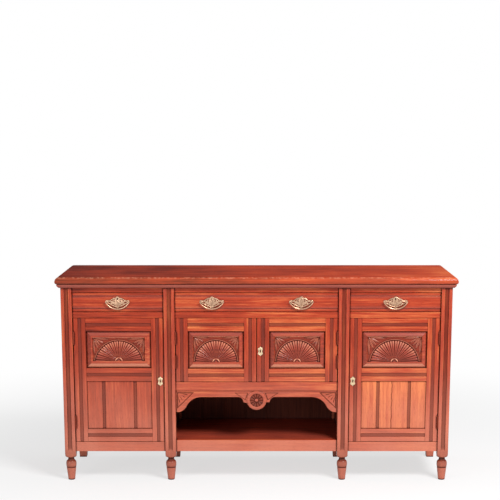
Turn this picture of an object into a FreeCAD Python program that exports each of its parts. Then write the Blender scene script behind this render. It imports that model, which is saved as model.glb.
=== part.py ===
import FreeCAD, Part
import math
import os

# A sideboard chiffonier: three drawers over two tall doors and a short pair, with an open pot shelf in the middle.
# Millimetres. Origin on the floor under the middle of the top, X to the right, front towards minus Y, Z up.

# Overall sizes
TOP_WIDTH = 1830.0
TOP_DEPTH = 535.0
HEIGHT = 955.0
CENTRE_BAY = 750.0
FRONT_OVERHANG = 25.0
SIDE_OVERHANG = 22.0
BACK_OVERHANG = 10.0

# Top board and the moulding planted under it
TOP_THICK = 32.0
NOSE_INSET = 11.0
NOSE_DROP = 17.0
NOSE_UNDERCUT = 9.0
MOULDING_HEIGHT = 18.0
MOULDING_FILLET = 4.0
MOULDING_BASE_INSET = 18.0

# Posts and their turned feet
POST = 50.0
REAR_POST_DEPTH = 40.0
REAR_FOOT_HEIGHT = 110.0
REAR_FOOT_TOE = 34.0
POST_ARRIS = 2.5
POST_CHANNEL = 19.0
POST_CHANNEL_DEPTH = 3.0
POST_CHANNEL_STOP = 141.0
TOE_RADIUS = 17.0
TOE_ROUND = 2.5
TAPER_TOP_RADIUS = 21.5
BULB_RADIUS = 23.3
BAND_STEP = 1.4
NECK_RADIUS = 14.0
BAND_HEIGHT = 62.0
BULB_HEIGHT = 92.0
BULB_FLAT = 10.0
FOOT_SIDES = 16
NECK_HEIGHT = 101.0
NECK_LENGTH = 4.0
SHOULDER_HEIGHT = 110.0
SQUARE_HEIGHT = 127.0

# Rails across the front
FRONT_SETBACK = 8.0
RAIL_THICK = 22.0
BOTTOM_RAIL_LOW = 139.0
BOTTOM_RAIL = 45.0
SHELF_RAIL = 53.0
TOP_RAIL = 40.0
DRAWER_OPENING = 91.0
DRAWER_RAIL = 26.0
DRAWER_RAIL_DEPTH = 60.0
CENTRE_OPENING = 299.0
CENTRE_RAIL = 40.0

# Ends, partitions, boards and backs
END_SETBACK = 6.0
END_THICK = 22.0
END_TOP_RAIL = 90.0
END_BOTTOM_RAIL = 60.0
END_PANEL = 8.0
PARTITION = 18.0
BOARD = 18.0
BACK_PANEL = 10.0
BACK_SETBACK = 8.0
HOUSING = 8.0
BACK_BOARD_WIDTH = 105.0
VEE = 2.0
SHELF_RISE = 286.0
SHELF_SETBACK = 30.0
CLEAT = 20.0

# Apron under the centre cupboard
APRON_THICK = 18.0
APRON_SETBACK = 3.0
APRON_EDGE_SHARE = 0.132
APRON_TIP_SHARE = 0.434
APRON_TIP = 17.0
APRON_BRACKET = 118.0
ROUNDEL_SHARE = 0.1957
ROUNDEL_RAISE = 3.0
ROUNDEL_RING_SHARE = 0.217
ROUNDEL_PETALS = 10
ROUNDEL_BOSS_SHARE = 0.174
STEP_WIDTH = 16.0
STEP_SWEEP = 23.0

# Doors
DOOR_THICK = 22.0
DOOR_GAP = 3.0
DOOR_END_GAP = 2.0
STILE = 56.0
DOOR_RAIL = 60.0
MIDDLE_RAIL = 61.0
UPPER_PANEL = 172.0
DOOR_CHANNEL = 16.0
DOOR_CHANNEL_DEPTH = 2.5
GROOVE = 6.0
GROOVE_DEPTH = 8.0
GROOVE_INSET = 9.0
HAUNCH = 10.0
PANEL_ROOM = 1.0
STOP_BLOCK = 40.0
STOP_HEIGHT = 10.0
STOP_ROOM = 0.3

# Carved fan panels and boarded panels
BEVEL = 24.0
FIELD_INSET = 2.0
FIELD_RIM = 9.0
GROUND_SINK = 4.5
FAN_DROP = 0.5
FAN_BASE_LIFT = 40.0
FAN_RAYS = 23
FAN_HUB = 14.0
FAN_LIP = 3.0
FAN_SCALLOP = 1.6
FLUTE_SHARE = 0.84
FLUTE_DEPTH = 3.2
FLUTE_ASPECT = 1.6
SIDE_FAN_HALF = 106.0
SIDE_FAN_RISE = 84.0
CENTRE_FAN_HALF = 93.0
CENTRE_FAN_RISE = 92.0
PLANK_INSET = 4.0
PLANK_CHANNEL = 15.0
PLANK_CHANNEL_DEPTH = 3.0
PLANK_EDGE = 70.0

# Hinges, locks and bolts
KNUCKLE_RADIUS = 3.5
KNUCKLE_ROOM = 0.3
PIN_RADIUS = 1.5
PIN_FIT = 0.05
LEAF = 1.2
LEAF_WIDTH = 20.0
HINGE_LENGTH = 60.0
HINGE_INSET = 62.0
LOCK_WIDTH = 38.0
LOCK_HEIGHT = 58.0
LOCK_DEPTH = 11.0
BOLT_LENGTH = 26.0
BOLT_THICK = 6.0
BOLT_HEIGHT = 20.0
BOLT_ROOM = 0.3
BOLT_TRAVEL = 8.0
SIDE_LOCK_RISE = 285.0
CENTRE_LOCK_RISE = 142.0
KEY_INSET = 16.0
KEY_RADIUS = 2.8
KEY_SLOT = 2.6
KEY_DROP = 8.0
ESCUTCHEON_HALF = 12.0
ESCUTCHEON_RISE = 23.0
ESCUTCHEON_THICK = 1.2
TOWER_WIDTH = 18.0
TOWER_LENGTH = 86.0
TOWER_PLATE = 1.5
TOWER_STAPLE = 7.0
TOWER_REACH = 9.5
TOWER_ROD = 3.0
TOWER_TRAVEL = 10.0
TOWER_KNOB = 2.5

# Drawers
DRAWER_GAP = 2.0
DRAWER_END_GAP = 1.5
DRAWER_FRONT = 22.0
DRAWER_MARGIN = 17.0
DRAWER_MARGIN_DEPTH = 3.0
DRAWER_SIDE = 12.0
DRAWER_SIDE_DROP = 1.2
DRAWER_BACK_GAP = 15.0
DRAWER_BOTTOM = 7.0
DRAWER_BOTTOM_LIFT = 9.0
DRAWER_BOTTOM_GROOVE = 6.0
DRAWER_TOP_DROP = 4.0
RUNNER_HEIGHT = 20.0
RUNNER_WIDTH = 30.0
GUIDE_HEIGHT = 24.0
GUIDE_ROOM = 0.5
LAP = 8.0
TAILS = 3
TAIL_SHARE = 0.5
TAIL_SLOPE = 0.16

# Drop handles
HANDLE_RISE = 48.0
CENTRE_HANDLE_X = 204.0
HANDLE_PLATE = 1.6
PLATE_HALF = 55.0
PLATE_RISE = 23.0
PLATE_FALL = 22.0
PLATE_WING = 8.0
STUD_X = 46.5
STUD_RADIUS = 3.6
STUD_REACH = 12.6
BAIL_OFFSET = 10.0
BAIL_END = 54.5
BAIL_DROP = 33.0
BAIL_END_RADIUS = 2.0
BAIL_GRIP_RADIUS = 3.4
BAIL_PIN = 1.6
BAIL_FIT = 0.06
BAIL_FACETS = 10
KEY_RISE = 13.0

# Levels and planes that follow from the sizes above
V = FreeCAD.Vector
CARCASS_TOP = HEIGHT - TOP_THICK
FRONT = -TOP_DEPTH / 2 + FRONT_OVERHANG
BACK = TOP_DEPTH / 2 - BACK_OVERHANG
POST_BACK = FRONT + POST
REAR_FRONT = BACK - REAR_POST_DEPTH
FACE = FRONT + FRONT_SETBACK
OUTER_X = TOP_WIDTH / 2 - SIDE_OVERHANG - POST / 2
INNER_X = CENTRE_BAY / 2 + POST / 2
OUTER_FACE = OUTER_X + POST / 2
SIDE_BAY_IN = INNER_X + POST / 2
SIDE_BAY_OUT = OUTER_X - POST / 2
CENTRE_HALF = CENTRE_BAY / 2
PARTITION_OUT = INNER_X + PARTITION / 2
PARTITION_IN = INNER_X - PARTITION / 2
END_RAIL_OUT = OUTER_FACE - END_SETBACK
END_RAIL_IN = END_RAIL_OUT - END_THICK
END_PANEL_IN = END_RAIL_IN + (END_THICK - END_PANEL) / 2
END_PANEL_OUT = END_PANEL_IN + END_PANEL
BACK_PANEL_OUT = BACK - BACK_SETBACK
BACK_PANEL_IN = BACK_PANEL_OUT - BACK_PANEL
BOTTOM_RAIL_TOP = BOTTOM_RAIL_LOW + BOTTOM_RAIL
SHELF_RAIL_TOP = BOTTOM_RAIL_LOW + SHELF_RAIL
TOP_RAIL_LOW = CARCASS_TOP - TOP_RAIL
DRAWER_RAIL_TOP = TOP_RAIL_LOW - DRAWER_OPENING
DRAWER_RAIL_LOW = DRAWER_RAIL_TOP - DRAWER_RAIL
DRAWER_RAIL_BACK = FACE + DRAWER_RAIL_DEPTH
CENTRE_RAIL_TOP = DRAWER_RAIL_LOW - CENTRE_OPENING
CENTRE_RAIL_LOW = CENTRE_RAIL_TOP - CENTRE_RAIL
RAIL_BACK = FACE + RAIL_THICK
DOOR_BACK = FACE + DOOR_THICK
DOOR_TOP = DRAWER_RAIL_LOW - DOOR_END_GAP
SIDE_DOOR_LOW = BOTTOM_RAIL_TOP + DOOR_END_GAP
CENTRE_DOOR_LOW = CENTRE_RAIL_TOP + DOOR_END_GAP
SIDE_DOOR_IN = SIDE_BAY_IN + DOOR_GAP
SIDE_DOOR_OUT = SIDE_BAY_OUT - DOOR_GAP
CENTRE_DOOR_IN = DOOR_GAP / 2
CENTRE_DOOR_OUT = CENTRE_HALF - DOOR_GAP
SHELF_HEIGHT = BOTTOM_RAIL_TOP + SHELF_RISE
SIDE_LOCK_HEIGHT = SIDE_DOOR_LOW + SIDE_LOCK_RISE
CENTRE_LOCK_HEIGHT = CENTRE_DOOR_LOW + CENTRE_LOCK_RISE
HANDLE_HEIGHT = DRAWER_RAIL_TOP + HANDLE_RISE
GROOVE_FRONT = FACE + GROOVE_INSET
GROOVE_BACK = GROOVE_FRONT + GROOVE
FIELD = FACE + FIELD_INSET
FAN_FACE = FIELD + FAN_DROP
HINGE_Y = FACE - KNUCKLE_RADIUS - KNUCKLE_ROOM
HINGE_STAND = KNUCKLE_RADIUS + KNUCKLE_ROOM
BOLT_Y = DOOR_BACK - LOCK_DEPTH / 2
TOWER_X = CENTRE_DOOR_IN + STILE / 2
TOWER_Y = DOOR_BACK + TOWER_PLATE + TOWER_ROD + BOLT_ROOM


# Shapes used again and again

def box(x0, x1, y0, y1, z0, z1):
    return Part.makeBox(x1 - x0, y1 - y0, z1 - z0, V(x0, y0, z0))


def rod_x(x0, x1, y, z, radius):
    return Part.makeCylinder(radius, x1 - x0, V(x0, y, z), V(1, 0, 0))


def rod_y(x, y0, y1, z, radius):
    return Part.makeCylinder(radius, y1 - y0, V(x, y0, z), V(0, 1, 0))


def rod_z(x, y, z0, z1, radius):
    return Part.makeCylinder(radius, z1 - z0, V(x, y, z0), V(0, 0, 1))


def mirrored(shape):
    return shape.mirror(V(0, 0, 0), V(1, 0, 0))


def both(shape):
    return [mirrored(shape), shape]


def flip(point):
    return (-point[0], point[1])


def on_front(y):
    return lambda point: V(point[0], y, point[1])


def on_side(x):
    return lambda point: V(x, point[0], point[1])


def on_plan(z):
    return lambda point: V(point[0], point[1], z)


def outline(place, start, steps):
    """A face bounded by lines (one point a step) and arcs (a middle and an end point a step)."""
    edges = []
    here = start
    for step in steps:
        end = step[-1]
        if len(step) == 1:
            edges.append(Part.LineSegment(place(here), place(end)).toShape())
        else:
            edges.append(Part.Arc(place(here), place(step[0]), place(end)).toShape())
        here = end
    return Part.Face(Part.Wire(edges))


def returned(start, steps):
    """The mirror image of a run of steps, followed backwards."""
    points = [start] + [step[-1] for step in steps]
    back = []
    for index in range(len(steps) - 1, -1, -1):
        middle = [flip(point) for point in steps[index][:-1]]
        back.append(tuple(middle + [flip(points[index])]))
    return back


def corner(centre, point):
    """A point on the quarter round between two ends, on the side away from the centre."""
    share = math.sqrt(0.5)
    return (centre[0] + point[0] * share, centre[1] + point[1] * share)


def flats(place, centre, radius, sides):
    """Corners of a regular outline whose flat sides stand for a small round one."""
    corners = []
    for index in range(sides):
        turn = 2 * math.pi * (index + 0.5) / sides
        corners.append(place((centre[0] + radius * math.cos(turn), centre[1] + radius * math.sin(turn))))
    return corners


def eight_sided(place, centre, radius, along):
    corners = flats(place, centre, radius, 8)
    return Part.Face(Part.makePolygon(corners + corners[:1])).extrude(along)


def stacked(rings):
    """A solid with flat faces from each ring of corners to the next."""
    count = len(rings[0])
    loops = [rings[0][::-1], rings[-1]]
    for near, far in zip(rings, rings[1:]):
        for index in range(count):
            after = (index + 1) % count
            loops.append([near[index], near[after], far[after]])
            loops.append([near[index], far[after], far[index]])
    faces = [Part.Face(Part.makePolygon(loop + loop[:1])) for loop in loops]
    return Part.Solid(Part.Shell(faces)).removeSplitter()


def save(node, *shapes):
    solids = [solid for shape in shapes for solid in shape.Solids]
    for solid in solids:
        if not solid.isValid():
            raise ValueError(node + " has a bad solid")
    Part.makeCompound(solids).exportStep("parts/" + node + ".step")


# Top board and moulding

def moulded_plate(start, steps):
    """A plate whose front and two ends carry one edge profile, mitred; the profile is given as inset and height."""
    half = TOP_WIDTH / 2
    front = -TOP_DEPTH / 2
    high = start[1]
    low = steps[-1][-1][1]
    rear = [((TOP_DEPTH, low),), ((TOP_DEPTH, high),), (start,)]
    section = outline(lambda p: V(-half, front + p[0], p[1]), start, steps + rear)
    along = section.extrude(V(TOP_WIDTH, 0, 0))
    right = (half - start[0], start[1])
    turned = [tuple((half - point[0], point[1]) for point in step) for step in steps]
    ring = turned + [(flip(turned[-1][-1]),)] + returned(right, turned) + [(right,)]
    across = outline(on_front(front), right, ring).extrude(V(0, TOP_DEPTH, 0))
    return along.common(across)


def top_board():
    nose = HEIGHT - NOSE_DROP
    upper = corner((NOSE_INSET, nose), (-NOSE_INSET, NOSE_DROP))
    lower = corner((NOSE_UNDERCUT, nose), (-NOSE_UNDERCUT, CARCASS_TOP - nose))
    steps = [(upper, (0.0, nose)), (lower, (NOSE_UNDERCUT, CARCASS_TOP))]
    return moulded_plate((NOSE_INSET, HEIGHT), steps)


def top_moulding():
    low = CARCASS_TOP - MOULDING_HEIGHT
    quirk = low + MOULDING_FILLET
    width = MOULDING_BASE_INSET - NOSE_UNDERCUT
    round_middle = corner((MOULDING_BASE_INSET, CARCASS_TOP), (-width, quirk - CARCASS_TOP))
    steps = [(round_middle, (MOULDING_BASE_INSET, quirk)), ((MOULDING_BASE_INSET, low),)]
    plate = moulded_plate((NOSE_UNDERCUT, CARCASS_TOP), steps)
    strip = plate.cut(box(-OUTER_FACE, OUTER_FACE, FRONT, TOP_DEPTH, low, CARCASS_TOP))
    half = TOP_WIDTH / 2
    front = -TOP_DEPTH / 2
    heel = (OUTER_FACE, FRONT)
    corner_point = (half, front)
    ring = [(heel,), (flip(heel),), (flip(corner_point),), (corner_point,)]
    middle = outline(on_plan(low), corner_point, ring).extrude(V(0, 0, MOULDING_HEIGHT))
    front_strip = strip.common(middle)
    returns = strip.cut(middle)
    return [front_strip, returns]


# Posts

def turning():
    """A turned foot below a bevelled shoulder that runs out into the square, in flats to keep its faces few."""
    bulb_middle = (BAND_HEIGHT + BULB_HEIGHT) / 2
    lift = SQUARE_HEIGHT - SHOULDER_HEIGHT
    profile = [
        (TOE_RADIUS - TOE_ROUND, 0.0),
        (TOE_RADIUS, TOE_ROUND),
        (TAPER_TOP_RADIUS - BAND_STEP, BAND_HEIGHT),
        (TAPER_TOP_RADIUS, BAND_HEIGHT + BAND_STEP),
        (BULB_RADIUS, bulb_middle - BULB_FLAT / 2),
        (BULB_RADIUS, bulb_middle + BULB_FLAT / 2),
        (BULB_RADIUS * 0.92, BULB_HEIGHT),
        (NECK_RADIUS, NECK_HEIGHT),
        (NECK_RADIUS, NECK_HEIGHT + NECK_LENGTH),
        (POST * 0.46, SHOULDER_HEIGHT),
        (POST * 0.62, SHOULDER_HEIGHT + lift * 0.3),
        (POST * 0.73, SQUARE_HEIGHT),
        (POST * 0.73, CARCASS_TOP),
    ]
    return stacked([flats(on_plan(height), (0.0, 0.0), radius, FOOT_SIDES) for radius, height in profile])


def softened_square():
    """The square of a post with its two front arrises rounded."""
    half = POST / 2
    near = half - POST_ARRIS
    left = corner((-near, -near), (-POST_ARRIS, -POST_ARRIS))
    right = corner((near, -near), (POST_ARRIS, -POST_ARRIS))
    steps = [
        (left, (-near, -half)),
        ((near, -half),),
        (right, (half, -near)),
        ((half, half),),
        ((-half, half),),
        ((-half, -near),),
    ]
    return outline(on_plan(0), (-half, -near), steps).extrude(V(0, 0, CARCASS_TOP))


def post_channel():
    radius = POST_CHANNEL / 2
    face = -POST / 2
    start = POST_CHANNEL_STOP + radius
    floor = face + POST_CHANNEL_DEPTH
    run = box(-radius, radius, face, floor, start, CARCASS_TOP)
    return run.fuse(rod_y(0, face, floor, start, radius))


def front_post(x, cutters):
    post = softened_square().common(turning())
    post = post.cut(post_channel())
    post.translate(V(x, FRONT + POST / 2, 0))
    for cutter in cutters:
        post = post.cut(cutter)
    return post


def end_panel_shape():
    low = BOTTOM_RAIL_LOW + END_BOTTOM_RAIL - HOUSING
    high = CARCASS_TOP - END_TOP_RAIL + HOUSING
    return box(END_PANEL_IN, END_PANEL_OUT, POST_BACK - HOUSING, REAR_FRONT + HOUSING, low, high)


def back_panel_shape(x0, x1):
    """A back of matched boards, their joints marked by vees on the inside."""
    panel = box(x0 - HOUSING, x1 + HOUSING, BACK_PANEL_IN, BACK_PANEL_OUT, BOTTOM_RAIL_LOW, CARCASS_TOP)
    boards = max(1, round((x1 - x0) / BACK_BOARD_WIDTH))
    for index in range(1, boards):
        x = x0 + (x1 - x0) * index / boards
        steps = [((x + VEE, BACK_PANEL_IN),), ((x, BACK_PANEL_IN + VEE),), ((x - VEE, BACK_PANEL_IN),)]
        vee = outline(on_plan(BOTTOM_RAIL_LOW), (x - VEE, BACK_PANEL_IN), steps)
        panel = panel.cut(vee.extrude(V(0, 0, CARCASS_TOP - BOTTOM_RAIL_LOW)))
    return panel


def back_panels():
    side = back_panel_shape(SIDE_BAY_IN, SIDE_BAY_OUT)
    return both(side) + [back_panel_shape(-CENTRE_HALF, CENTRE_HALF)]


def rear_post(x):
    """A plain square post, tapered to a small toe below the rails."""
    half = POST / 2
    toe = REAR_FOOT_TOE / 2
    rise = REAR_FOOT_HEIGHT
    steps = [((x + toe, 0.0),), ((x + half, rise),), ((x + half, CARCASS_TOP),)]
    steps = steps + [((x - half, CARCASS_TOP),), ((x - half, rise),), ((x - toe, 0.0),)]
    post = outline(on_front(REAR_FRONT), (x - toe, 0.0), steps).extrude(V(0, REAR_POST_DEPTH, 0))
    return post


def rear_posts():
    """The four rear posts, grooved for the end panels and the backs."""
    grooves = both(end_panel_shape()) + back_panels()
    posts = []
    for x in (-OUTER_X, -INNER_X, INNER_X, OUTER_X):
        posts.append(rear_post(x).cut(grooves))
    return posts


def bolt_mortise(x0, x1, z):
    room = BOLT_ROOM
    half_y = BOLT_THICK / 2 + room
    half_z = BOLT_HEIGHT / 2 + room
    return box(x0, x1, BOLT_Y - half_y, BOLT_Y + half_y, z - half_z, z + half_z)


# Ends, partitions, rails and boards

def end_rails():
    high = box(END_RAIL_IN, END_RAIL_OUT, POST_BACK, REAR_FRONT, CARCASS_TOP - END_TOP_RAIL, CARCASS_TOP)
    low_top = BOTTOM_RAIL_LOW + END_BOTTOM_RAIL
    low = box(END_RAIL_IN, END_RAIL_OUT, POST_BACK, REAR_FRONT, BOTTOM_RAIL_LOW, low_top)
    pair = [rail.cut(end_panel_shape()) for rail in (low, high)]
    return [side for rail in pair for side in both(rail)]


def partition():
    return box(PARTITION_IN, PARTITION_OUT, POST_BACK, REAR_FRONT, BOTTOM_RAIL_LOW, CARCASS_TOP)


def front_rails():
    """Top, drawer, bottom, centre and shelf rails; the drawer rail over the centre takes the tower bolt."""
    rails = []
    for x0, x1 in ((SIDE_BAY_IN, SIDE_BAY_OUT), (-CENTRE_HALF, CENTRE_HALF), (-SIDE_BAY_OUT, -SIDE_BAY_IN)):
        rails.append(box(x0, x1, FACE, RAIL_BACK, TOP_RAIL_LOW, CARCASS_TOP))
        drawer_rail = box(x0, x1, FACE, DRAWER_RAIL_BACK, DRAWER_RAIL_LOW, DRAWER_RAIL_TOP)
        if x0 == -CENTRE_HALF:
            reach = DOOR_TOP + TOWER_TRAVEL + TOWER_ROD
            hole = rod_z(-TOWER_X, TOWER_Y, DRAWER_RAIL_LOW, reach, TOWER_ROD + BOLT_ROOM)
            drawer_rail = drawer_rail.cut(hole)
        rails.append(drawer_rail)
    bottom = box(SIDE_BAY_IN, SIDE_BAY_OUT, FACE, RAIL_BACK, BOTTOM_RAIL_LOW, BOTTOM_RAIL_TOP)
    shelf = box(-CENTRE_HALF, CENTRE_HALF, FACE, RAIL_BACK, BOTTOM_RAIL_LOW, SHELF_RAIL_TOP)
    centre = box(-CENTRE_HALF, CENTRE_HALF, FACE, RAIL_BACK, CENTRE_RAIL_LOW, CENTRE_RAIL_TOP)
    return rails + both(bottom) + [shelf, centre]


def between_posts(board):
    """A board notched round the posts that it meets."""
    posts = []
    for x in (-OUTER_X, -INNER_X, INNER_X, OUTER_X):
        posts.append(box(x - POST / 2, x + POST / 2, FRONT, POST_BACK, 0, CARCASS_TOP))
        posts.append(box(x - POST / 2, x + POST / 2, REAR_FRONT, BACK, 0, CARCASS_TOP))
    return board.cut(posts)


def pot_shelf():
    low = SHELF_RAIL_TOP - BOARD
    return between_posts(box(-PARTITION_IN, PARTITION_IN, RAIL_BACK, BACK_PANEL_IN, low, SHELF_RAIL_TOP))


def cupboard_boards():
    """Floors of the three cupboards, and a shelf on two cleats in each side cupboard."""
    side_low = BOTTOM_RAIL_TOP - BOARD
    floor = between_posts(box(PARTITION_OUT, END_RAIL_IN, RAIL_BACK, BACK_PANEL_IN, side_low, BOTTOM_RAIL_TOP))
    centre_low = CENTRE_RAIL_TOP - BOARD
    centre = box(-PARTITION_IN, PARTITION_IN, RAIL_BACK, BACK_PANEL_IN, centre_low, CENTRE_RAIL_TOP)
    shelf_front = DOOR_BACK + SHELF_SETBACK
    shelf_low = SHELF_HEIGHT - BOARD
    shelf = box(PARTITION_OUT, END_PANEL_IN, shelf_front, BACK_PANEL_IN, shelf_low, SHELF_HEIGHT)
    inner_cleat = box(PARTITION_OUT, PARTITION_OUT + CLEAT, POST_BACK, REAR_FRONT, shelf_low - CLEAT, shelf_low)
    outer_cleat = box(END_PANEL_IN - CLEAT, END_PANEL_IN, POST_BACK, REAR_FRONT, shelf_low - CLEAT, shelf_low)
    pieces = [floor, between_posts(shelf), inner_cleat, outer_cleat]
    return [side for piece in pieces for side in both(piece)] + [between_posts(centre)]


def drawer_runners():
    """A runner with its side guide, and a kicker above, at each side of each drawer."""
    pairs = [
        (END_PANEL_IN, SIDE_BAY_OUT, -1),
        (PARTITION_OUT, SIDE_BAY_IN, 1),
        (PARTITION_IN, CENTRE_HALF, -1),
    ]
    pieces = []
    low = DRAWER_RAIL_TOP - RUNNER_HEIGHT
    high = TOP_RAIL_LOW + RUNNER_HEIGHT
    for wall, opening, inward in pairs:
        edge = opening + inward * (DRAWER_GAP - GUIDE_ROOM)
        reach = opening + inward * RUNNER_WIDTH
        x0, x1 = sorted((wall, reach))
        runner = box(x0, x1, DRAWER_RAIL_BACK, REAR_FRONT, low, DRAWER_RAIL_TOP)
        guide_x0, guide_x1 = sorted((wall, edge))
        guide_top = DRAWER_RAIL_TOP + GUIDE_HEIGHT
        guide = box(guide_x0, guide_x1, DRAWER_RAIL_BACK, REAR_FRONT, DRAWER_RAIL_TOP, guide_top)
        top_wall = END_RAIL_IN if wall == END_PANEL_IN else wall
        kicker_x0, kicker_x1 = sorted((top_wall, reach))
        kicker = box(kicker_x0, kicker_x1, POST_BACK, REAR_FRONT, TOP_RAIL_LOW, high)
        pieces = pieces + both(runner) + both(guide) + both(kicker)
    return pieces


def door_stops():
    """Blocks under the drawer rails for the doors to close against."""
    y = DOOR_BACK + STOP_ROOM
    low = DRAWER_RAIL_LOW - STOP_HEIGHT
    blocks = []
    for edge in (SIDE_DOOR_IN + STILE, CENTRE_DOOR_IN + STILE):
        blocks = blocks + both(box(edge, edge + STOP_BLOCK, y, DRAWER_RAIL_BACK, low, DRAWER_RAIL_LOW))
    return blocks


# Carved flutes, shared by the fans and the roundel

def flute(hub, angle, near, far, spread, surface):
    """A tapered gouge cut running out from a hub, with two sloping sides."""
    along = V(math.cos(angle), 0, math.sin(angle))
    sideways = V(-math.sin(angle), 0, math.cos(angle))
    half = min(spread * far * FLUTE_SHARE / 2, FLUTE_DEPTH * FLUTE_ASPECT)
    shape = [(-1.0, -1.0), (-1.0, 0.0), (0.0, 1.0), (1.0, 0.0), (1.0, -1.0)]
    rings = []
    for reach in (near, far):
        share = reach / far
        centre = V(hub[0], surface, hub[1]) + along * reach
        ring = []
        for across, into in shape:
            ring.append(centre + sideways * (across * half * share) + V(0, into * FLUTE_DEPTH * share, 0))
        rings.append(ring)
    return stacked(rings)


def apron():
    """A shaped board with brackets at the posts, stepped either side of a carved roundel."""
    high = CENTRE_RAIL_LOW
    recess = high - SHELF_RAIL_TOP
    radius = recess * ROUNDEL_SHARE
    edge = high - recess * APRON_EDGE_SHARE
    tip = high - recess * APRON_TIP_SHARE
    middle = high - radius
    step = middle - radius * 0.2
    step_in = math.sqrt(radius ** 2 - (step - middle) ** 2)
    step_out = step_in + STEP_WIDTH
    sweep = corner((step_out + STEP_SWEEP, step), (-STEP_SWEEP, edge - step))
    tip_in = CENTRE_HALF - APRON_TIP
    start_in = CENTRE_HALF - APRON_BRACKET
    fall = edge - tip
    run = tip_in - start_in
    turn = (start_in + run * 0.66, tip + fall * 0.42)
    bulge = (start_in + run * 0.36, tip + fall * 0.86)
    hollow = (tip_in - run * 0.17, tip + fall * 0.12)
    right = (CENTRE_HALF, high)
    steps = [
        ((CENTRE_HALF, tip),),
        ((tip_in, tip),),
        (hollow, turn),
        (bulge, (start_in, edge)),
        ((step_out + STEP_SWEEP, edge),),
        (sweep, (step_out, step)),
        ((step_in, step),),
    ]
    ring = steps + [((0.0, middle - radius), (-step_in, step))] + returned(right, steps) + [(right,)]
    face = FACE + APRON_SETBACK
    board = outline(on_front(face), right, ring).extrude(V(0, APRON_THICK, 0))
    surface = face - ROUNDEL_RAISE
    disc = rod_y(0, surface, face, middle, radius)
    board = board.fuse(disc).removeSplitter()
    boss = radius * ROUNDEL_BOSS_SHARE
    inner = radius * (1 - ROUNDEL_RING_SHARE)
    spread = 2 * math.pi / ROUNDEL_PETALS
    petals = []
    for index in range(ROUNDEL_PETALS):
        petals.append(flute((0.0, middle), index * spread, boss, inner, spread, surface))
    return board.cut(petals)


# Doors, built right-hand hung: the hinge edge is the one with the larger X

def stile(x0, x1, z0, z1, groove_x0, groove_x1):
    body = box(x0, x1, FACE, DOOR_BACK, z0, z1)
    middle = (x0 + x1) / 2
    half = DOOR_CHANNEL / 2
    body = body.cut(box(middle - half, middle + half, FACE, FACE + DOOR_CHANNEL_DEPTH, z0, z1))
    return body.cut(box(groove_x0, groove_x1, GROOVE_FRONT, GROOVE_BACK, z0 + HAUNCH, z1 - HAUNCH))


def door_rail(x0, x1, z0, z1, low_haunch, high_haunch):
    """A rail with a stub tenon at each end; a haunch keeps the tenon clear of the door's outer edge."""
    body = box(x0, x1, FACE, DOOR_BACK, z0, z1)
    middle = (z0 + z1) / 2
    half = DOOR_CHANNEL / 2
    body = body.cut(box(x0, x1, FACE, FACE + DOOR_CHANNEL_DEPTH, middle - half, middle + half))
    tenon_low = z0 + low_haunch
    tenon_high = z1 - high_haunch
    reach = GROOVE_DEPTH
    tenon = box(x0 - reach, x1 + reach, GROOVE_FRONT, GROOVE_BACK, tenon_low, tenon_high)
    body = body.fuse(tenon)
    if low_haunch == 0:
        body = body.cut(box(x0 - reach, x1 + reach, GROOVE_FRONT, GROOVE_BACK, z0, z0 + reach))
    if high_haunch == 0:
        body = body.cut(box(x0 - reach, x1 + reach, GROOVE_FRONT, GROOVE_BACK, z1 - reach, z1))
    return body.removeSplitter()


def panel_blank(x0, x1, z0, z1, face, bevel):
    """A panel held in the grooves of its frame, its front raised to the given face inside a bevel."""
    side = GROOVE_DEPTH - PANEL_ROOM

    def section(low, high, low_reach, high_reach):
        return [
            ((high + high_reach, GROOVE_BACK),),
            ((high + high_reach, GROOVE_FRONT),),
            ((high, GROOVE_FRONT),),
            ((high - bevel, face),),
            ((low + bevel, face),),
            ((low, GROOVE_FRONT),),
            ((low - low_reach, GROOVE_FRONT),),
            ((low - low_reach, GROOVE_BACK),),
        ]
    wide = section(x0, x1, side, side)
    plan = outline(on_plan(z0 - GROOVE_DEPTH), wide[-1][0], wide)
    upright = plan.extrude(V(0, 0, z1 - z0 + 2 * GROOVE_DEPTH))
    tall = section(z0, z1, GROOVE_DEPTH, side)
    cross = outline(lambda p: V(x0 - GROOVE_DEPTH, p[1], p[0]), tall[-1][0], tall)
    return upright.common(cross.extrude(V(x1 - x0 + 2 * GROOVE_DEPTH, 0, 0)))


def fan_reach(angle, half, rise):
    """How far the rim lies from the hub: the rim is the part of a circle that spans the base and the rise."""
    radius = (half * half + rise * rise) / (2 * rise)
    below = radius - rise
    across = below * math.cos(angle)
    return math.sqrt(radius * radius - across * across) - below * math.sin(angle)


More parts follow.
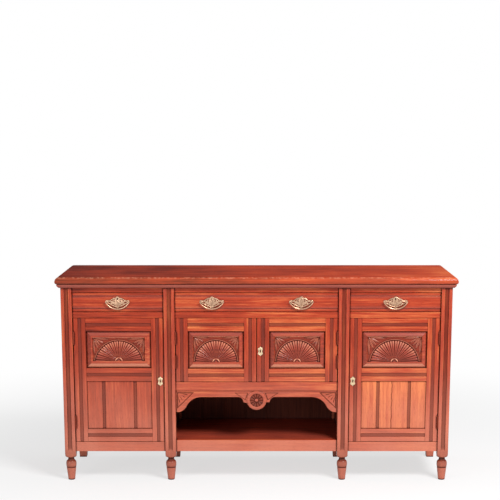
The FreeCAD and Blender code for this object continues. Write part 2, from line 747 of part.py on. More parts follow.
def fan_panel(x0, x1, z0, z1, fan_half, fan_rise):
    """A fielded panel: a fan of gouged rays with a scalloped rim stands on a sunk ground."""
    blank = panel_blank(x0, x1, z0, z1, FIELD, BEVEL)
    middle = (x0 + x1) / 2
    base = z0 + FAN_BASE_LIFT
    margin = BEVEL + FIELD_RIM
    ground_half = (x1 - x0) / 2 - margin
    ground_top = z1 - margin
    half = min(fan_half, ground_half - FAN_SCALLOP)
    rise = min(fan_rise, ground_top - base - FAN_SCALLOP)
    spread = math.pi / FAN_RAYS
    ground = FIELD + GROUND_SINK
    sunk = box(middle - ground_half, middle + ground_half, FIELD, ground, base, ground_top)

    def rim(angle, extra):
        reach = fan_reach(angle, half, rise) + extra
        return (middle + reach * math.cos(angle), base + reach * math.sin(angle))
    steps = []
    for ray in range(FAN_RAYS):
        steps.append((rim((ray + 0.5) * spread, FAN_SCALLOP),))
        steps.append((rim((ray + 1) * spread, 0.0),))
    start = rim(0.0, 0.0)
    steps.append((start,))
    fan = outline(on_front(FAN_FACE), start, steps).extrude(V(0, GROUND_SINK, 0))
    panel = blank.cut(sunk.cut(fan))
    flutes = []
    for ray in range(FAN_RAYS):
        angle = (ray + 0.5) * spread
        far = fan_reach(angle, half, rise) - FAN_LIP
        flutes.append(flute((middle, base), angle, FAN_HUB, far, spread, FAN_FACE))
    return panel.cut(flutes)


def plank_panel(x0, x1, z0, z1):
    """A flat panel divided into one wide and two narrow boards by channels."""
    face = FACE + PLANK_INSET
    panel = panel_blank(x0, x1, z0, z1, face, 0.0)
    for left in (x0 + PLANK_EDGE, x1 - PLANK_EDGE - PLANK_CHANNEL):
        panel = panel.cut(box(left, left + PLANK_CHANNEL, face, face + PLANK_CHANNEL_DEPTH, z0, z1))
    return panel


def knuckle_spans(z, owner):
    """Height ranges of the knuckles: the post leaf owns the outer two and the door leaf the middle one."""
    third = HINGE_LENGTH / 3
    spans = {"post": [(0, 1), (2, 3)], "door": [(1, 2)]}
    return [(z + low * third, z + high * third) for low, high in spans[owner]]


def hinge_leaf(post_x, z, owner):
    """One leaf of a butt hinge in the gap between a door's edge and its post; the post leaf holds the pin."""
    axis_x = post_x - HINGE_STAND
    high = z + HINGE_LENGTH
    plate_x = post_x - LEAF if owner == "post" else post_x - DOOR_GAP
    leaf = box(plate_x, plate_x + LEAF, HINGE_Y, FACE + LEAF_WIDTH, z, high)
    other = "door" if owner == "post" else "post"
    clear = KNUCKLE_RADIUS + KNUCKLE_ROOM
    for low, top in knuckle_spans(z, other):
        leaf = leaf.cut(box(plate_x, plate_x + LEAF, HINGE_Y, HINGE_Y + clear, low, top))
    room = KNUCKLE_ROOM if owner == "door" else 0.0
    for low, top in knuckle_spans(z, owner):
        length = V(0, 0, top - low - 2 * room)
        leaf = leaf.fuse(eight_sided(on_plan(low + room), (axis_x, HINGE_Y), KNUCKLE_RADIUS, length))
    if owner == "door":
        return leaf.cut(rod_z(axis_x, HINGE_Y, z, high, PIN_RADIUS + PIN_FIT)).removeSplitter()
    return leaf.fuse(rod_z(axis_x, HINGE_Y, z, high, PIN_RADIUS)).removeSplitter()


def hinge_heights(z0, z1):
    return [z0 + HINGE_INSET, z1 - HINGE_INSET - HINGE_LENGTH]


def keyhole(x, z, y0, y1):
    slot = box(x - KEY_SLOT / 2, x + KEY_SLOT / 2, y0, y1, z - KEY_DROP, z)
    return eight_sided(on_front(y0), (x, z), KEY_RADIUS, V(0, y1 - y0, 0)).fuse(slot).removeSplitter()


def lock_case(x0, z):
    """A cut lock let into the back of a stile, with a way for its bolt."""
    half = LOCK_HEIGHT / 2
    return box(x0, x0 + LOCK_WIDTH, DOOR_BACK - LOCK_DEPTH, DOOR_BACK, z - half, z + half)


def escutcheon(x, z):
    """A key plate of two lobes drawn out to points."""
    half = ESCUTCHEON_HALF
    rise = ESCUTCHEON_RISE
    start = (0.0, rise)
    steps = [
        ((half * 0.7, rise * 0.74),),
        ((half, rise * 0.42),),
        ((half * 0.62, 0.0),),
        ((half, -rise * 0.42),),
        ((half * 0.7, -rise * 0.74),),
        ((0.0, -rise),),
    ]
    front = FACE - ESCUTCHEON_THICK
    plate = outline(on_front(front), start, steps + returned(start, steps)).extrude(V(0, ESCUTCHEON_THICK, 0))
    plate.translate(V(x, 0, z))
    return plate.cut(keyhole(x, z + KEY_DROP / 2, front, FACE))


def lock_bolt(x0, z):
    half = BOLT_HEIGHT / 2
    thick = BOLT_THICK / 2
    return box(x0, x0 + BOLT_LENGTH, BOLT_Y - thick, BOLT_Y + thick, z - half, z + half)


def lock_parts(x0, z):
    """The case with its escutcheon, and the bolt drawn back flush with the door's edge."""
    way = bolt_mortise(x0, x0 + BOLT_LENGTH + BOLT_ROOM, z)
    case = lock_case(x0, z).cut(way)
    return {"lock": [case, escutcheon(x0 + KEY_INSET, z)], "bolt": [lock_bolt(x0, z)]}


def lock_pocket(x0, z):
    """What a stile loses to its lock: the pocket for the case and the keyhole."""
    hole = keyhole(x0 + KEY_INSET, z + KEY_DROP / 2, FACE, DOOR_BACK - LOCK_DEPTH)
    return lock_case(x0, z).fuse(hole)


def door(x0, x1, z0, z1, post_x, openings, fan, cutter):
    """All the pieces of one door; the openings run from the lowest panel to the highest, which holds the fan."""
    inner0 = x0 + STILE
    inner1 = x1 - STILE
    lock_stile = stile(x0, inner0, z0, z1, inner0 - GROOVE_DEPTH, inner0).cut(cutter)
    hinge_stile = stile(inner1, x1, z0, z1, inner1, inner1 + GROOVE_DEPTH)
    levels = [z0] + [level for opening in openings for level in opening] + [z1]
    rails = []
    for index in range(0, len(levels), 2):
        low_haunch = HAUNCH if index == 0 else 0
        high_haunch = HAUNCH if index == len(levels) - 2 else 0
        rails.append(door_rail(inner0, inner1, levels[index], levels[index + 1], low_haunch, high_haunch))
    heights = hinge_heights(z0, z1)
    pieces = {
        "stiles": [lock_stile, hinge_stile],
        "rails": rails,
        "fan_panel": [fan_panel(inner0, inner1, openings[-1][0], openings[-1][1], fan[0], fan[1])],
        "hinge_leaves": [hinge_leaf(post_x, z, "door") for z in heights],
    }
    if len(openings) > 1:
        pieces["plank_panel"] = [plank_panel(inner0, inner1, openings[0][0], openings[0][1])]
    fixed = [hinge_leaf(post_x, z, "post") for z in heights]
    return pieces, fixed


def side_door():
    upper_top = DOOR_TOP - DOOR_RAIL
    upper_low = upper_top - UPPER_PANEL
    openings = [(SIDE_DOOR_LOW + DOOR_RAIL, upper_low - MIDDLE_RAIL), (upper_low, upper_top)]
    pocket = lock_pocket(SIDE_DOOR_IN, SIDE_LOCK_HEIGHT)
    fan = (SIDE_FAN_HALF, SIDE_FAN_RISE)
    return door(SIDE_DOOR_IN, SIDE_DOOR_OUT, SIDE_DOOR_LOW, DOOR_TOP, SIDE_BAY_OUT, openings, fan, pocket)


def centre_door(cutter):
    openings = [(CENTRE_DOOR_LOW + DOOR_RAIL, DOOR_TOP - DOOR_RAIL)]
    fan = (CENTRE_FAN_HALF, CENTRE_FAN_RISE)
    return door(CENTRE_DOOR_IN, CENTRE_DOOR_OUT, CENTRE_DOOR_LOW, DOOR_TOP, CENTRE_HALF, openings, fan, cutter)


def tower_bolt():
    """A bolt on the back of the inner stile: a plate with two staples, and a rod with a knob between them."""
    half = TOWER_WIDTH / 2
    high = DOOR_TOP - DOOR_END_GAP
    low = high - TOWER_LENGTH
    back = DOOR_BACK + TOWER_PLATE
    plate = box(TOWER_X - half, TOWER_X + half, DOOR_BACK, back, low, high)
    for z in (low + TOWER_STAPLE, high - 2 * TOWER_STAPLE):
        staple = box(TOWER_X - half, TOWER_X + half, back, DOOR_BACK + TOWER_REACH, z, z + TOWER_STAPLE)
        plate = plate.fuse(staple)
    way = rod_z(TOWER_X, TOWER_Y, low, high, TOWER_ROD + PIN_FIT)
    plate = plate.cut(way).removeSplitter()
    rod = rod_z(TOWER_X, TOWER_Y, low + DOOR_END_GAP, high, TOWER_ROD)
    knob_z = (low + high) / 2
    knob = rod_y(TOWER_X, TOWER_Y, TOWER_Y + TOWER_REACH, knob_z, TOWER_KNOB)
    return plate, rod.fuse(knob)


# Drawers

def dovetails(x0, x1, y0, y1, z0, z1):
    """The tails on the front end of a drawer side, widest at their ends."""
    pitch = (z1 - z0) / TAILS
    tails = []
    for index in range(TAILS):
        middle = z0 + (index + 0.5) * pitch
        root = pitch * TAIL_SHARE / 2
        end = root + (y1 - y0) * TAIL_SLOPE
        steps = [((y1, middle + root),), ((y0, middle + end),), ((y0, middle - end),), ((y1, middle - root),)]
        tails.append(outline(on_side(x0), (y1, middle - root), steps).extrude(V(x1 - x0, 0, 0)))
    return tails


def drawer(x0, x1, key_xs):
    """The front with its sunk margins, and the box behind it: dovetailed sides, a back and a bottom in grooves."""
    left = x0 + DRAWER_GAP
    right = x1 - DRAWER_GAP
    low = DRAWER_RAIL_TOP + DRAWER_END_GAP
    high = TOP_RAIL_LOW - DRAWER_END_GAP
    inside = FACE + DRAWER_FRONT
    rear = BACK_PANEL_IN - DRAWER_BACK_GAP
    front = box(left, right, FACE, inside, low, high)
    for z in (low, high - DRAWER_MARGIN):
        front = front.cut(box(left, right, FACE, FACE + DRAWER_MARGIN_DEPTH, z, z + DRAWER_MARGIN))
    for x in key_xs:
        front = front.cut(keyhole(x, HANDLE_HEIGHT + KEY_RISE, FACE, inside))
    side_low = low - DRAWER_SIDE_DROP
    side_high = high - DRAWER_TOP_DROP
    floor_low = side_low + DRAWER_BOTTOM_LIFT
    floor_high = floor_low + DRAWER_BOTTOM
    groove = DRAWER_BOTTOM_GROOVE
    in_left = left + DRAWER_SIDE
    in_right = right - DRAWER_SIDE
    floor = box(in_left - groove, in_right + groove, inside - groove, rear, floor_low, floor_high)
    front = front.cut(floor)
    sides = []
    for side_x0, side_x1 in ((left, in_left), (in_right, right)):
        side = box(side_x0, side_x1, inside, rear, side_low, side_high).cut(floor)
        tails = dovetails(side_x0, side_x1, FACE + LAP, inside, floor_high, side_high)
        front = front.cut(tails)
        sides.append(side.fuse(tails).removeSplitter())
    back = box(in_left, in_right, rear - DRAWER_SIDE, rear, floor_high, side_high)
    return front, sides + [back, floor]


def plate_outline(front):
    """A lobed middle between two wings that widen about the studs."""
    half = PLATE_HALF
    high = PLATE_RISE
    low = -PLATE_FALL
    wing = PLATE_WING
    start = (0.0, high)
    steps = [
        ((half * 0.13, high * 0.78),),
        ((half * 0.25, high * 0.7),),
        ((half * 0.41, high * 0.37),),
        ((half * 0.7, wing * 0.7),),
        ((STUD_X, wing),),
        ((half, wing * 0.4),),
        ((half, -wing * 0.4),),
        ((STUD_X, -wing),),
        ((half * 0.7, -wing * 0.65),),
        ((half * 0.43, low * 0.36),),
        ((half * 0.21, low * 0.66),),
        ((0.0, low),),
    ]
    return outline(on_front(front), start, steps + returned(start, steps))


def lozenge(front, x, half, rise):
    steps = [((x, rise),), ((x + half, 0.0),), ((x, -rise),), ((x - half, 0.0),)]
    return outline(on_front(front), (x - half, 0.0), steps)


def handle_plate(x, keyed):
    """A pierced plate with lobes and wings, and the two eight-sided studs that carry the bail."""
    front = FACE - HANDLE_PLATE
    depth = V(0, HANDLE_PLATE, 0)
    plate = plate_outline(front).extrude(depth)
    for sign in (-1, 1):
        wing = lozenge(front, sign * PLATE_HALF * 0.55, PLATE_HALF * 0.11, PLATE_WING * 0.33)
        lobe = lozenge(front, sign * PLATE_HALF * 0.29, PLATE_HALF * 0.09, PLATE_WING * 0.5)
        plate = plate.cut([wing.extrude(depth), lobe.extrude(depth)])
        stud = eight_sided(on_front(front - STUD_REACH), (sign * STUD_X, 0.0), STUD_RADIUS, V(0, STUD_REACH, 0))
        eye = rod_x(sign * STUD_X - POST, sign * STUD_X + POST, front - BAIL_OFFSET, 0, BAIL_PIN + BAIL_FIT)
        plate = plate.fuse(stud.cut(eye))
    plate = plate.removeSplitter()
    plate.translate(V(x, 0, HANDLE_HEIGHT))
    if keyed:
        plate = plate.cut(keyhole(x, HANDLE_HEIGHT + KEY_RISE, front, FACE))
    return plate


def bail(x):
    """A crescent handle of eight-sided section, thickest at the grip, with a pin at each end that turns in a stud."""
    axis_y = FACE - HANDLE_PLATE - BAIL_OFFSET
    radius = (BAIL_END ** 2 + BAIL_DROP ** 2) / (2 * BAIL_DROP)
    sweep = math.asin(BAIL_END / radius) + BAIL_END_RADIUS / radius
    rings = []
    for index in range(BAIL_FACETS + 1):
        share = 2 * index / BAIL_FACETS - 1
        angle = share * sweep
        thick = BAIL_GRIP_RADIUS + (BAIL_END_RADIUS - BAIL_GRIP_RADIUS) * abs(share) ** 1.5
        outward = V(math.sin(angle), 0, -math.cos(angle))
        centre = V(0, 0, radius - BAIL_DROP) + outward * radius
        rings.append(flats(lambda point: centre + outward * point[0] + V(0, point[1], 0), (0.0, 0.0), thick, 8))
    body = stacked(rings)
    for sign in (-1, 1):
        x0, x1 = sorted((sign * (STUD_X - STUD_RADIUS - BAIL_PIN), sign * BAIL_END))
        body = body.fuse(rod_x(x0, x1, 0, 0, BAIL_PIN))
    body.translate(V(x, axis_y, HANDLE_HEIGHT))
    return body


# Writing the pieces

def save_carcass():
    mortise = bolt_mortise(SIDE_BAY_IN - BOLT_TRAVEL, SIDE_BAY_IN, SIDE_LOCK_HEIGHT)
    outer = front_post(OUTER_X, [end_panel_shape()])
    inner = front_post(INNER_X, [mortise])
    save("front_post_outer_right", outer)
    save("front_post_outer_left", mirrored(outer))
    save("front_post_inner_right", inner)
    save("front_post_inner_left", mirrored(inner))
    save("top_board", top_board())
    save("top_moulding", *top_moulding())
    save("rear_posts", *rear_posts())
    save("end_rails", *end_rails())
    save("end_panels", *both(end_panel_shape()))
    save("partitions", *both(partition()))
    save("front_rails", *front_rails())
    save("pot_shelf", pot_shelf())
    save("cupboard_boards", *cupboard_boards())
    save("back_panels", *back_panels())
    save("drawer_runners", *drawer_runners())
    save("door_stops", *door_stops())
    save("apron", apron())


def save_doors():
    side, side_fixed = side_door()
    lock = lock_parts(SIDE_DOOR_IN, SIDE_LOCK_HEIGHT)
    side["lock"] = lock["lock"]
    side["lock_bolt"] = lock["bolt"]
    right, right_fixed = centre_door(lock_pocket(CENTRE_DOOR_IN, CENTRE_LOCK_HEIGHT))
    lock = lock_parts(CENTRE_DOOR_IN, CENTRE_LOCK_HEIGHT)
    right["lock"] = lock["lock"]
    right["lock_bolt"] = lock["bolt"]
    left, left_fixed = centre_door(bolt_mortise(CENTRE_DOOR_IN, CENTRE_DOOR_IN + BOLT_TRAVEL, CENTRE_LOCK_HEIGHT))
    plate, rod = tower_bolt()
    left["bolt_plate"] = [plate]
    left["bolt_rod"] = [rod]
    fixed = []
    for shape in side_fixed + left_fixed:
        fixed = fixed + both(shape)
    for name, pieces in side.items():
        save("right_door_" + name, *pieces)
        save("left_door_" + name, *[mirrored(piece) for piece in pieces])
    for name, pieces in right.items():
        save("centre_right_door_" + name, *pieces)
    for name, pieces in left.items():
        save("centre_left_door_" + name, *[mirrored(piece) for piece in pieces])
    save("post_hinge_leaves", *fixed)


def save_drawers():
    side_x = (SIDE_BAY_IN + SIDE_BAY_OUT) / 2
    front, carcase = drawer(SIDE_BAY_IN, SIDE_BAY_OUT, [side_x])
    save("right_drawer_front", front)
    save("left_drawer_front", mirrored(front))
    save("right_drawer_box", *carcase)
    save("left_drawer_box", *[mirrored(piece) for piece in carcase])
    for side, x in (("left", -side_x), ("right", side_x)):
        save(side + "_handle_plate", handle_plate(x, True))
        save(side + "_handle_bail", bail(x))
    front, carcase = drawer(-CENTRE_HALF, CENTRE_HALF, [])
    save("centre_drawer_front", front)
    save("centre_drawer_box", *carcase)
    save("centre_handle_plates", handle_plate(-CENTRE_HANDLE_X, False), handle_plate(CENTRE_HANDLE_X, False))
    save("centre_handle_bail_left", bail(-CENTRE_HANDLE_X))
    save("centre_handle_bail_right", bail(CENTRE_HANDLE_X))


os.makedirs("parts", exist_ok=True)
save_carcass()
save_doors()
save_drawers()
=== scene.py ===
import math

import bmesh
import bpy
from bpy.props import FloatProperty, FloatVectorProperty, IntProperty, PointerProperty
from mathutils import Matrix, Vector


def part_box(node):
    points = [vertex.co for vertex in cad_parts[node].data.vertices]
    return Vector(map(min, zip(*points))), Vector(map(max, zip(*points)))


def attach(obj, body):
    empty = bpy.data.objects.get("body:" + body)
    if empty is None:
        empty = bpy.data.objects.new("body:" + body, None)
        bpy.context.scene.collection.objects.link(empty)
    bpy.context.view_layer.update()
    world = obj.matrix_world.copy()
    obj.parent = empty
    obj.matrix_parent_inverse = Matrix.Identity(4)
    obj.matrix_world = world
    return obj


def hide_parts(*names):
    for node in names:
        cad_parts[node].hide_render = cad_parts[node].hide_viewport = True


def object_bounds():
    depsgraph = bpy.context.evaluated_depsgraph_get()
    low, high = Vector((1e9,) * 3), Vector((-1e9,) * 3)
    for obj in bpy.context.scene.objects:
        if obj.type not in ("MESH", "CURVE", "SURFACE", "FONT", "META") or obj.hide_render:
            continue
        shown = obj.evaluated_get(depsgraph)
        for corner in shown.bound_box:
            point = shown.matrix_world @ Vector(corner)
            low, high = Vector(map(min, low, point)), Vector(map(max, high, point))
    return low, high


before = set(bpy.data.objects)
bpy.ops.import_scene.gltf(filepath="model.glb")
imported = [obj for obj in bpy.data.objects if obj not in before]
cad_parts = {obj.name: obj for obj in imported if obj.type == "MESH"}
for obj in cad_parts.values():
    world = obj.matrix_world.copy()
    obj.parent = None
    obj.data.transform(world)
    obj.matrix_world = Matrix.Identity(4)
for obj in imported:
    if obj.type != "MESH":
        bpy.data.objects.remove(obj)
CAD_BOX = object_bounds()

bl_info = {
    "name": "Sideboard chiffonier",
    "version": (1, 0, 0),
    "blender": (4, 5, 0),
    "location": "View3D > Sidebar > Chiffonier",
    "description": "Dresses the sideboard's solids with carving, brass fittings and polished wood",
    "category": "Object",
}

# A millimetre in the scene's unit
MM = 0.001
# Planes and heights read from the solids
DOOR_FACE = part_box("left_door_stiles")[0].y
DOOR_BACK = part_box("left_door_stiles")[1].y
PLANK_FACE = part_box("left_door_plank_panel")[0].y
DRAWER_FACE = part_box("left_drawer_front")[0].y
FLOOR = CAD_BOX[0].z
HEIGHT = CAD_BOX[1].z

DOORS = ("left_door", "right_door", "centre_left_door", "centre_right_door")
POSTS = ("front_post_outer_left", "front_post_inner_left", "front_post_inner_right", "front_post_outer_right")
HANDLE_BAILS = {
    "left_bail": "left_handle_bail",
    "centre_left_bail": "centre_handle_bail_left",
    "centre_right_bail": "centre_handle_bail_right",
    "right_bail": "right_handle_bail",
}


def srgb(red, green, blue):
    """A colour written as it looks on a screen, from 0 to 255, as the renderer's own linear values."""
    linear = []
    for channel in (red, green, blue):
        share = channel / 255
        linear.append(share / 12.92 if share <= 0.04045 else ((share + 0.055) / 1.055) ** 2.4)
    return tuple(linear)


# Settings that a user would change

def colour_setting(name, description, default):
    """A colour that the panel shows with a picker."""
    return FloatVectorProperty(name=name, description=description, default=default, subtype="COLOR",
                               min=0, max=1)


def length_setting(name, description, millimetres):
    """A length, given in millimetres."""
    return FloatProperty(name=name, description=description, default=millimetres * MM, unit="LENGTH", min=0)


class FinishColours(bpy.types.PropertyGroup):
    heart: colour_setting("Heart wood", "Darkest streaks of the polished wood", srgb(88, 26, 17))
    body: colour_setting("Body wood", "Main colour of the polished wood", srgb(166, 58, 33))
    bright: colour_setting("Bright wood", "Palest streaks of the polished wood", srgb(217, 121, 70))
    # Painted light bounced off the floor: the wood is painted paler low down.
    floor_bounce: colour_setting("Floor bounce, painted", "Light bounced off the floor, painted paler low down", srgb(196, 119, 97))
    # Bloom, and also a painted reflection of the floor on the moulding and painted shade on the upper bevels
    # of the raised panels.
    bloom_reflection_and_shade: colour_setting("Bloom", "Dull purplish bloom of mouldings, carving and feet", srgb(148, 80, 70))
    # Wear, and also a painted highlight on the nose and on the carving's rays and hub ring, and a painted
    # reflection of the floor on the lower bevels.
    worn_and_highlight: colour_setting("Worn wood", "Rubbed ridges of the carving", srgb(232, 160, 128))
    # Dirt, and also painted shade in corners, gaps, creases and recesses.
    grime: colour_setting("Grime", "Old polish and dirt in the hollows", srgb(52, 18, 16))
    inside: colour_setting("Inside wood", "Plain wood of drawer sides and backs", srgb(150, 98, 58))
    inside_dark: colour_setting("Inside wood, dark", "Dark grain of the plain wood", srgb(92, 52, 28))
    stained: colour_setting("Stained wood", "Back and partitions, stained to match", srgb(112, 52, 34))
    brass: colour_setting("Brass", "Rubbed brass of the handles", srgb(200, 162, 133))
    pale_brass: colour_setting("Pale brass", "Brighter brass of the key plates", srgb(226, 200, 162))
    tarnish: colour_setting("Tarnish", "Brown tarnish in the brass's hollows", srgb(78, 46, 30))
    bronze: colour_setting("Bronze", "Brown metal of the hinges", srgb(132, 58, 42))
    iron: colour_setting("Iron", "Bare iron of the bolts", srgb(96, 90, 84))


class CarvingSizes(bpy.types.PropertyGroup):
    rays: IntProperty(name="Fan rays", description="Rays in each carved fan", default=25, min=5)
    cut: length_setting("Cut depth", "Depth of the cuts between a fan's rays near the rim", 3.0)
    hub: length_setting("Hub", "Outer radius of the ring at a fan's foot", 19.2)
    scallop: length_setting("Scallop", "How far each ray's rounded end stands out", 3.2)
    bead: length_setting("Bead", "Distance of the bead round a fan from its rays", 6.2)
    bevel: length_setting("Bevel", "Width of the bevel round a carved panel", 22.0)
    sink: length_setting("Ground sink", "Depth of the ground behind the border", 4.5)
    petals: IntProperty(name="Roundel petals", description="Petals in the apron's roundel", default=12, min=4)


class StageSettings(bpy.types.PropertyGroup):
    lens: FloatProperty(name="Lens", description="Focal length", default=98.6, unit="CAMERA", min=1)
    distance: FloatProperty(name="Distance", description="Camera's distance", default=6.448, unit="LENGTH")
    height: FloatProperty(name="Height", description="Camera's height", default=1.647, unit="LENGTH")
    tilt: FloatProperty(name="Tilt", description="Tilt down", default=math.radians(12.09), subtype="ANGLE")
    shift_across: FloatProperty(name="Shift across", description="Lens shift to the right", default=-0.0131)
    shift_up: FloatProperty(name="Shift up", description="Lens shift upwards", default=0.3281)
    paper: colour_setting("Paper", "Colour of the floor", (0.8, 0.8, 0.8))


# Meshes

class Shell:
    """Points and faces gathered row by row into one mesh.

    A point's fourth number, where it has one, is its grime and painted shade, below zero where it is rubbed
    and painted with a highlight.
    """

    def __init__(self):
        self.points = []
        self.grime = []
        self.faces = []

    def row(self, points):
        start = len(self.points)
        for x, y, z, *grime in points:
            self.points.append(Vector((x, y, z)))
            self.grime.append(grime[0] if grime else 0.0)
        return list(range(start, len(self.points)))

    def strip(self, first, second, closed=False):
        count = len(first)
        for index in range(count if closed else count - 1):
            after = (index + 1) % count
            self.faces.append((first[index], first[after], second[after], second[index]))

    def cap(self, row):
        self.faces.append(tuple(row))

    def loft(self, rows, closed=False):
        indexed = [self.row(points) for points in rows]
        for first, second in zip(indexed, indexed[1:]):
            self.strip(first, second, closed)
        return indexed

    def tube(self, rows):
        """A closed skin over rows of points, capped at both ends."""
        indexed = self.loft(rows, closed=True)
        self.cap(indexed[0])
        self.cap(indexed[-1])

    def mesh(self, name, crease=35):
        mesh = bpy.data.meshes.new(name)
        mesh.from_pydata(self.points, [], self.faces)
        mesh.attributes.new("grime", "FLOAT", "POINT").data.foreach_set("value", self.grime)
        return finished(mesh, crease)


def finished(mesh, crease):
    """Join doubled points, turn the faces outwards and shade smooth up to the crease angle."""
    work = bmesh.new()
    work.from_mesh(mesh)
    bmesh.ops.remove_doubles(work, verts=work.verts, dist=0.01 * MM)
    bmesh.ops.recalc_face_normals(work, faces=work.faces)
    work.to_mesh(mesh)
    work.free()
    mesh.shade_smooth()
    mesh.set_sharp_from_angle(angle=math.radians(crease))
    return mesh


# How far planted carving is let into its ground
BEDDING = 0.2 * MM
CORD_STEPS = 5


def raise_cord(shell, points, width, front, height):
    """A rounded cord that stands on a face towards the front, along points of (x, z), thin at its ends."""
    rows = []
    for index, (x, z) in enumerate(points):
        before, after = points[max(0, index - 1)], points[min(len(points) - 1, index + 1)]
        along = Vector((after[0] - before[0], after[1] - before[1])).normalized()
        across = Vector((-along.y, along.x))
        taper = 1 if 0 < index < len(points) - 1 else 0.4
        row = []
        for step in range(CORD_STEPS + 1):
            angle = math.pi * step / CORD_STEPS
            flat = Vector((x, z)) + across * width / 2 * math.cos(angle) * taper
            rise = height * math.sin(angle) * taper - BEDDING
            # Darker at the cord's edges with dirt and painted shade, paler on its crest with wear and a
            # painted highlight.
            row.append((flat.x, front - rise, flat.y, 0.5 if step in (0, CORD_STEPS) else -0.3))
        rows.append(row)
    shell.loft(rows)


def circle(centre, radius, sides, axis):
    """Points round a circle whose plane is square to the axis, "X", "Y" or "Z"."""
    points = []
    for index in range(sides):
        angle = 2 * math.pi * index / sides
        across, up = radius * math.cos(angle), radius * math.sin(angle)
        offset = {"X": (0, across, up), "Y": (across, 0, up), "Z": (across, up, 0)}[axis]
        points.append(Vector(centre) + Vector(offset))
    return points


def polar(centre, distance, angle):
    """The point of an upright plane at a distance and an angle from a centre."""
    return centre[0] + distance * math.cos(angle), centre[1] + distance * math.sin(angle)


def arc(start, middle, end, steps):
    """Points along the arc through three points of a plane, without the last."""
    (ax, az), (bx, bz), (cx, cz) = start, middle, end
    twice = 2 * (ax * (bz - cz) + bx * (cz - az) + cx * (az - bz))
    squares = (ax * ax + az * az, bx * bx + bz * bz, cx * cx + cz * cz)
    x = (squares[0] * (bz - cz) + squares[1] * (cz - az) + squares[2] * (az - bz)) / twice
    z = (squares[0] * (cx - bx) + squares[1] * (ax - cx) + squares[2] * (bx - ax)) / twice
    radius = math.hypot(ax - x, az - z)
    first = math.atan2(az - z, ax - x)
    turns = []
    for px, pz in (middle, end):
        turns.append((math.atan2(pz - z, px - x) - first) % (2 * math.pi))
    sweep = turns[1] if turns[0] < turns[1] else turns[1] - 2 * math.pi
    return [polar((x, z), radius, first + sweep * index / steps) for index in range(steps)]


def mirrored(outline, middle=0.0):
    """An outline turned over about an upright line, still running the same way round."""
    return [(2 * middle - x, z) for x, z in reversed(outline)]


def moved(outline, x, z):
    """An outline in millimetres, set in its place in metres."""
    return [(x + across * MM, z + up * MM) for across, up in outline]


def raise_pairs(shell, lines, x, z, front, width, height):
    """Cords on both halves of a plate, along lines that are drawn for its right half in millimetres."""
    for line in lines:
        cord = moved(line, x, z)
        for points in (cord, mirrored(cord, x)):
            raise_cord(shell, points, width, front, height)


def settled(pattern):
    """The mesh of an object with its modifiers applied; the object itself is taken away."""
    bpy.context.scene.collection.objects.link(pattern)
    depsgraph = bpy.context.evaluated_depsgraph_get()
    mesh = bpy.data.meshes.new_from_object(pattern.evaluated_get(depsgraph))
    bpy.data.objects.remove(pattern)
    return mesh


def rectangle(x0, x1, z0, z1, y, grime=0.0):
    """Four corners of an upright rectangle that faces the front."""
    return [(x0, y, z0, grime), (x1, y, z0, grime), (x1, y, z1, grime), (x0, y, z1, grime)]


def with_pocket(mesh, low, high):
    """A mesh with a square pocket cut into it, between two corners."""
    chisel = Shell()
    chisel.tube([rectangle(low.x, high.x, low.z, high.z, y, 0.6) for y in (low.y, high.y)])
    cutter = bpy.data.objects.new("chisel", chisel.mesh("chisel"))
    bpy.context.scene.collection.objects.link(cutter)
    block = bpy.data.objects.new(mesh.name, mesh)
    pocket = block.modifiers.new("pocket", "BOOLEAN")
    pocket.object = cutter
    cut = settled(block)
    bpy.data.objects.remove(cutter)
    return finished(cut, crease=35)


def cut_sheet(name, outlines, front, thick, round_over, smooth=False):
    """A flat piece facing the front, cut to outlines of (x, z) points with its edges rounded.

    Inner outlines are holes.
    """
    curve = bpy.data.curves.new(name, "CURVE")
    curve.dimensions = "2D"
    curve.fill_mode = "BOTH"
    curve.extrude = thick / 2 - round_over
    curve.bevel_depth = round_over
    curve.bevel_resolution = 2
    curve.offset = -round_over
    curve.resolution_u = 6
    for outline in outlines:
        spline = curve.splines.new("BEZIER" if smooth else "POLY")
        points = spline.bezier_points if smooth else spline.points
        points.add(len(outline) - 1)
        for point, (x, z) in zip(points, outline):
            if smooth:
                point.co = (x, z, 0)
                point.handle_left_type = "AUTO"
                point.handle_right_type = "AUTO"
            else:
                point.co = (x, z, 0, 1)
        spline.use_cyclic_u = True
    mesh = settled(bpy.data.objects.new(name, curve))
    bpy.data.curves.remove(curve)
    mesh.transform(Matrix.Translation((0, front + thick / 2, 0)) @ Matrix.Rotation(math.pi / 2, 4, "X"))
    return finished(mesh, crease=40)


def joined(name, meshes):
    """Several meshes as one, so that a piece made of them is one object."""
    work = bmesh.new()
    for mesh in meshes:
        work.from_mesh(mesh)
        bpy.data.meshes.remove(mesh)
    whole = bpy.data.meshes.new(name)
    work.to_mesh(whole)
    work.free()
    return whole


def add_piece(name, mesh, body, slot, material, *nodes):
    """Put a mesh in the scene on its body, in place of the nodes it stands for."""
    piece = bpy.data.objects.new(name, mesh)
    bpy.context.scene.collection.objects.link(piece)
    mesh.materials.clear()
    mesh.materials.append(material)
    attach(piece, body)
    if nodes:
        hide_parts(*nodes)
    return piece


def dress(node, material, round_over):
    """Give a solid its finish and take the sharpness off its edges."""
    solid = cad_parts[node]
    solid.data.materials.clear()
    solid.data.materials.append(material)
    weld = solid.modifiers.new("weld", "WELD")
    weld.merge_threshold = 0.01 * MM
    bevel = solid.modifiers.new("arris", "BEVEL")
    bevel.width = round_over
    bevel.segments = 2
    bevel.limit_method = "ANGLE"
    bevel.angle_limit = math.radians(32)
    normals = solid.modifiers.new("normals", "WEIGHTED_NORMAL")
    normals.keep_sharp = False


# Shader maths

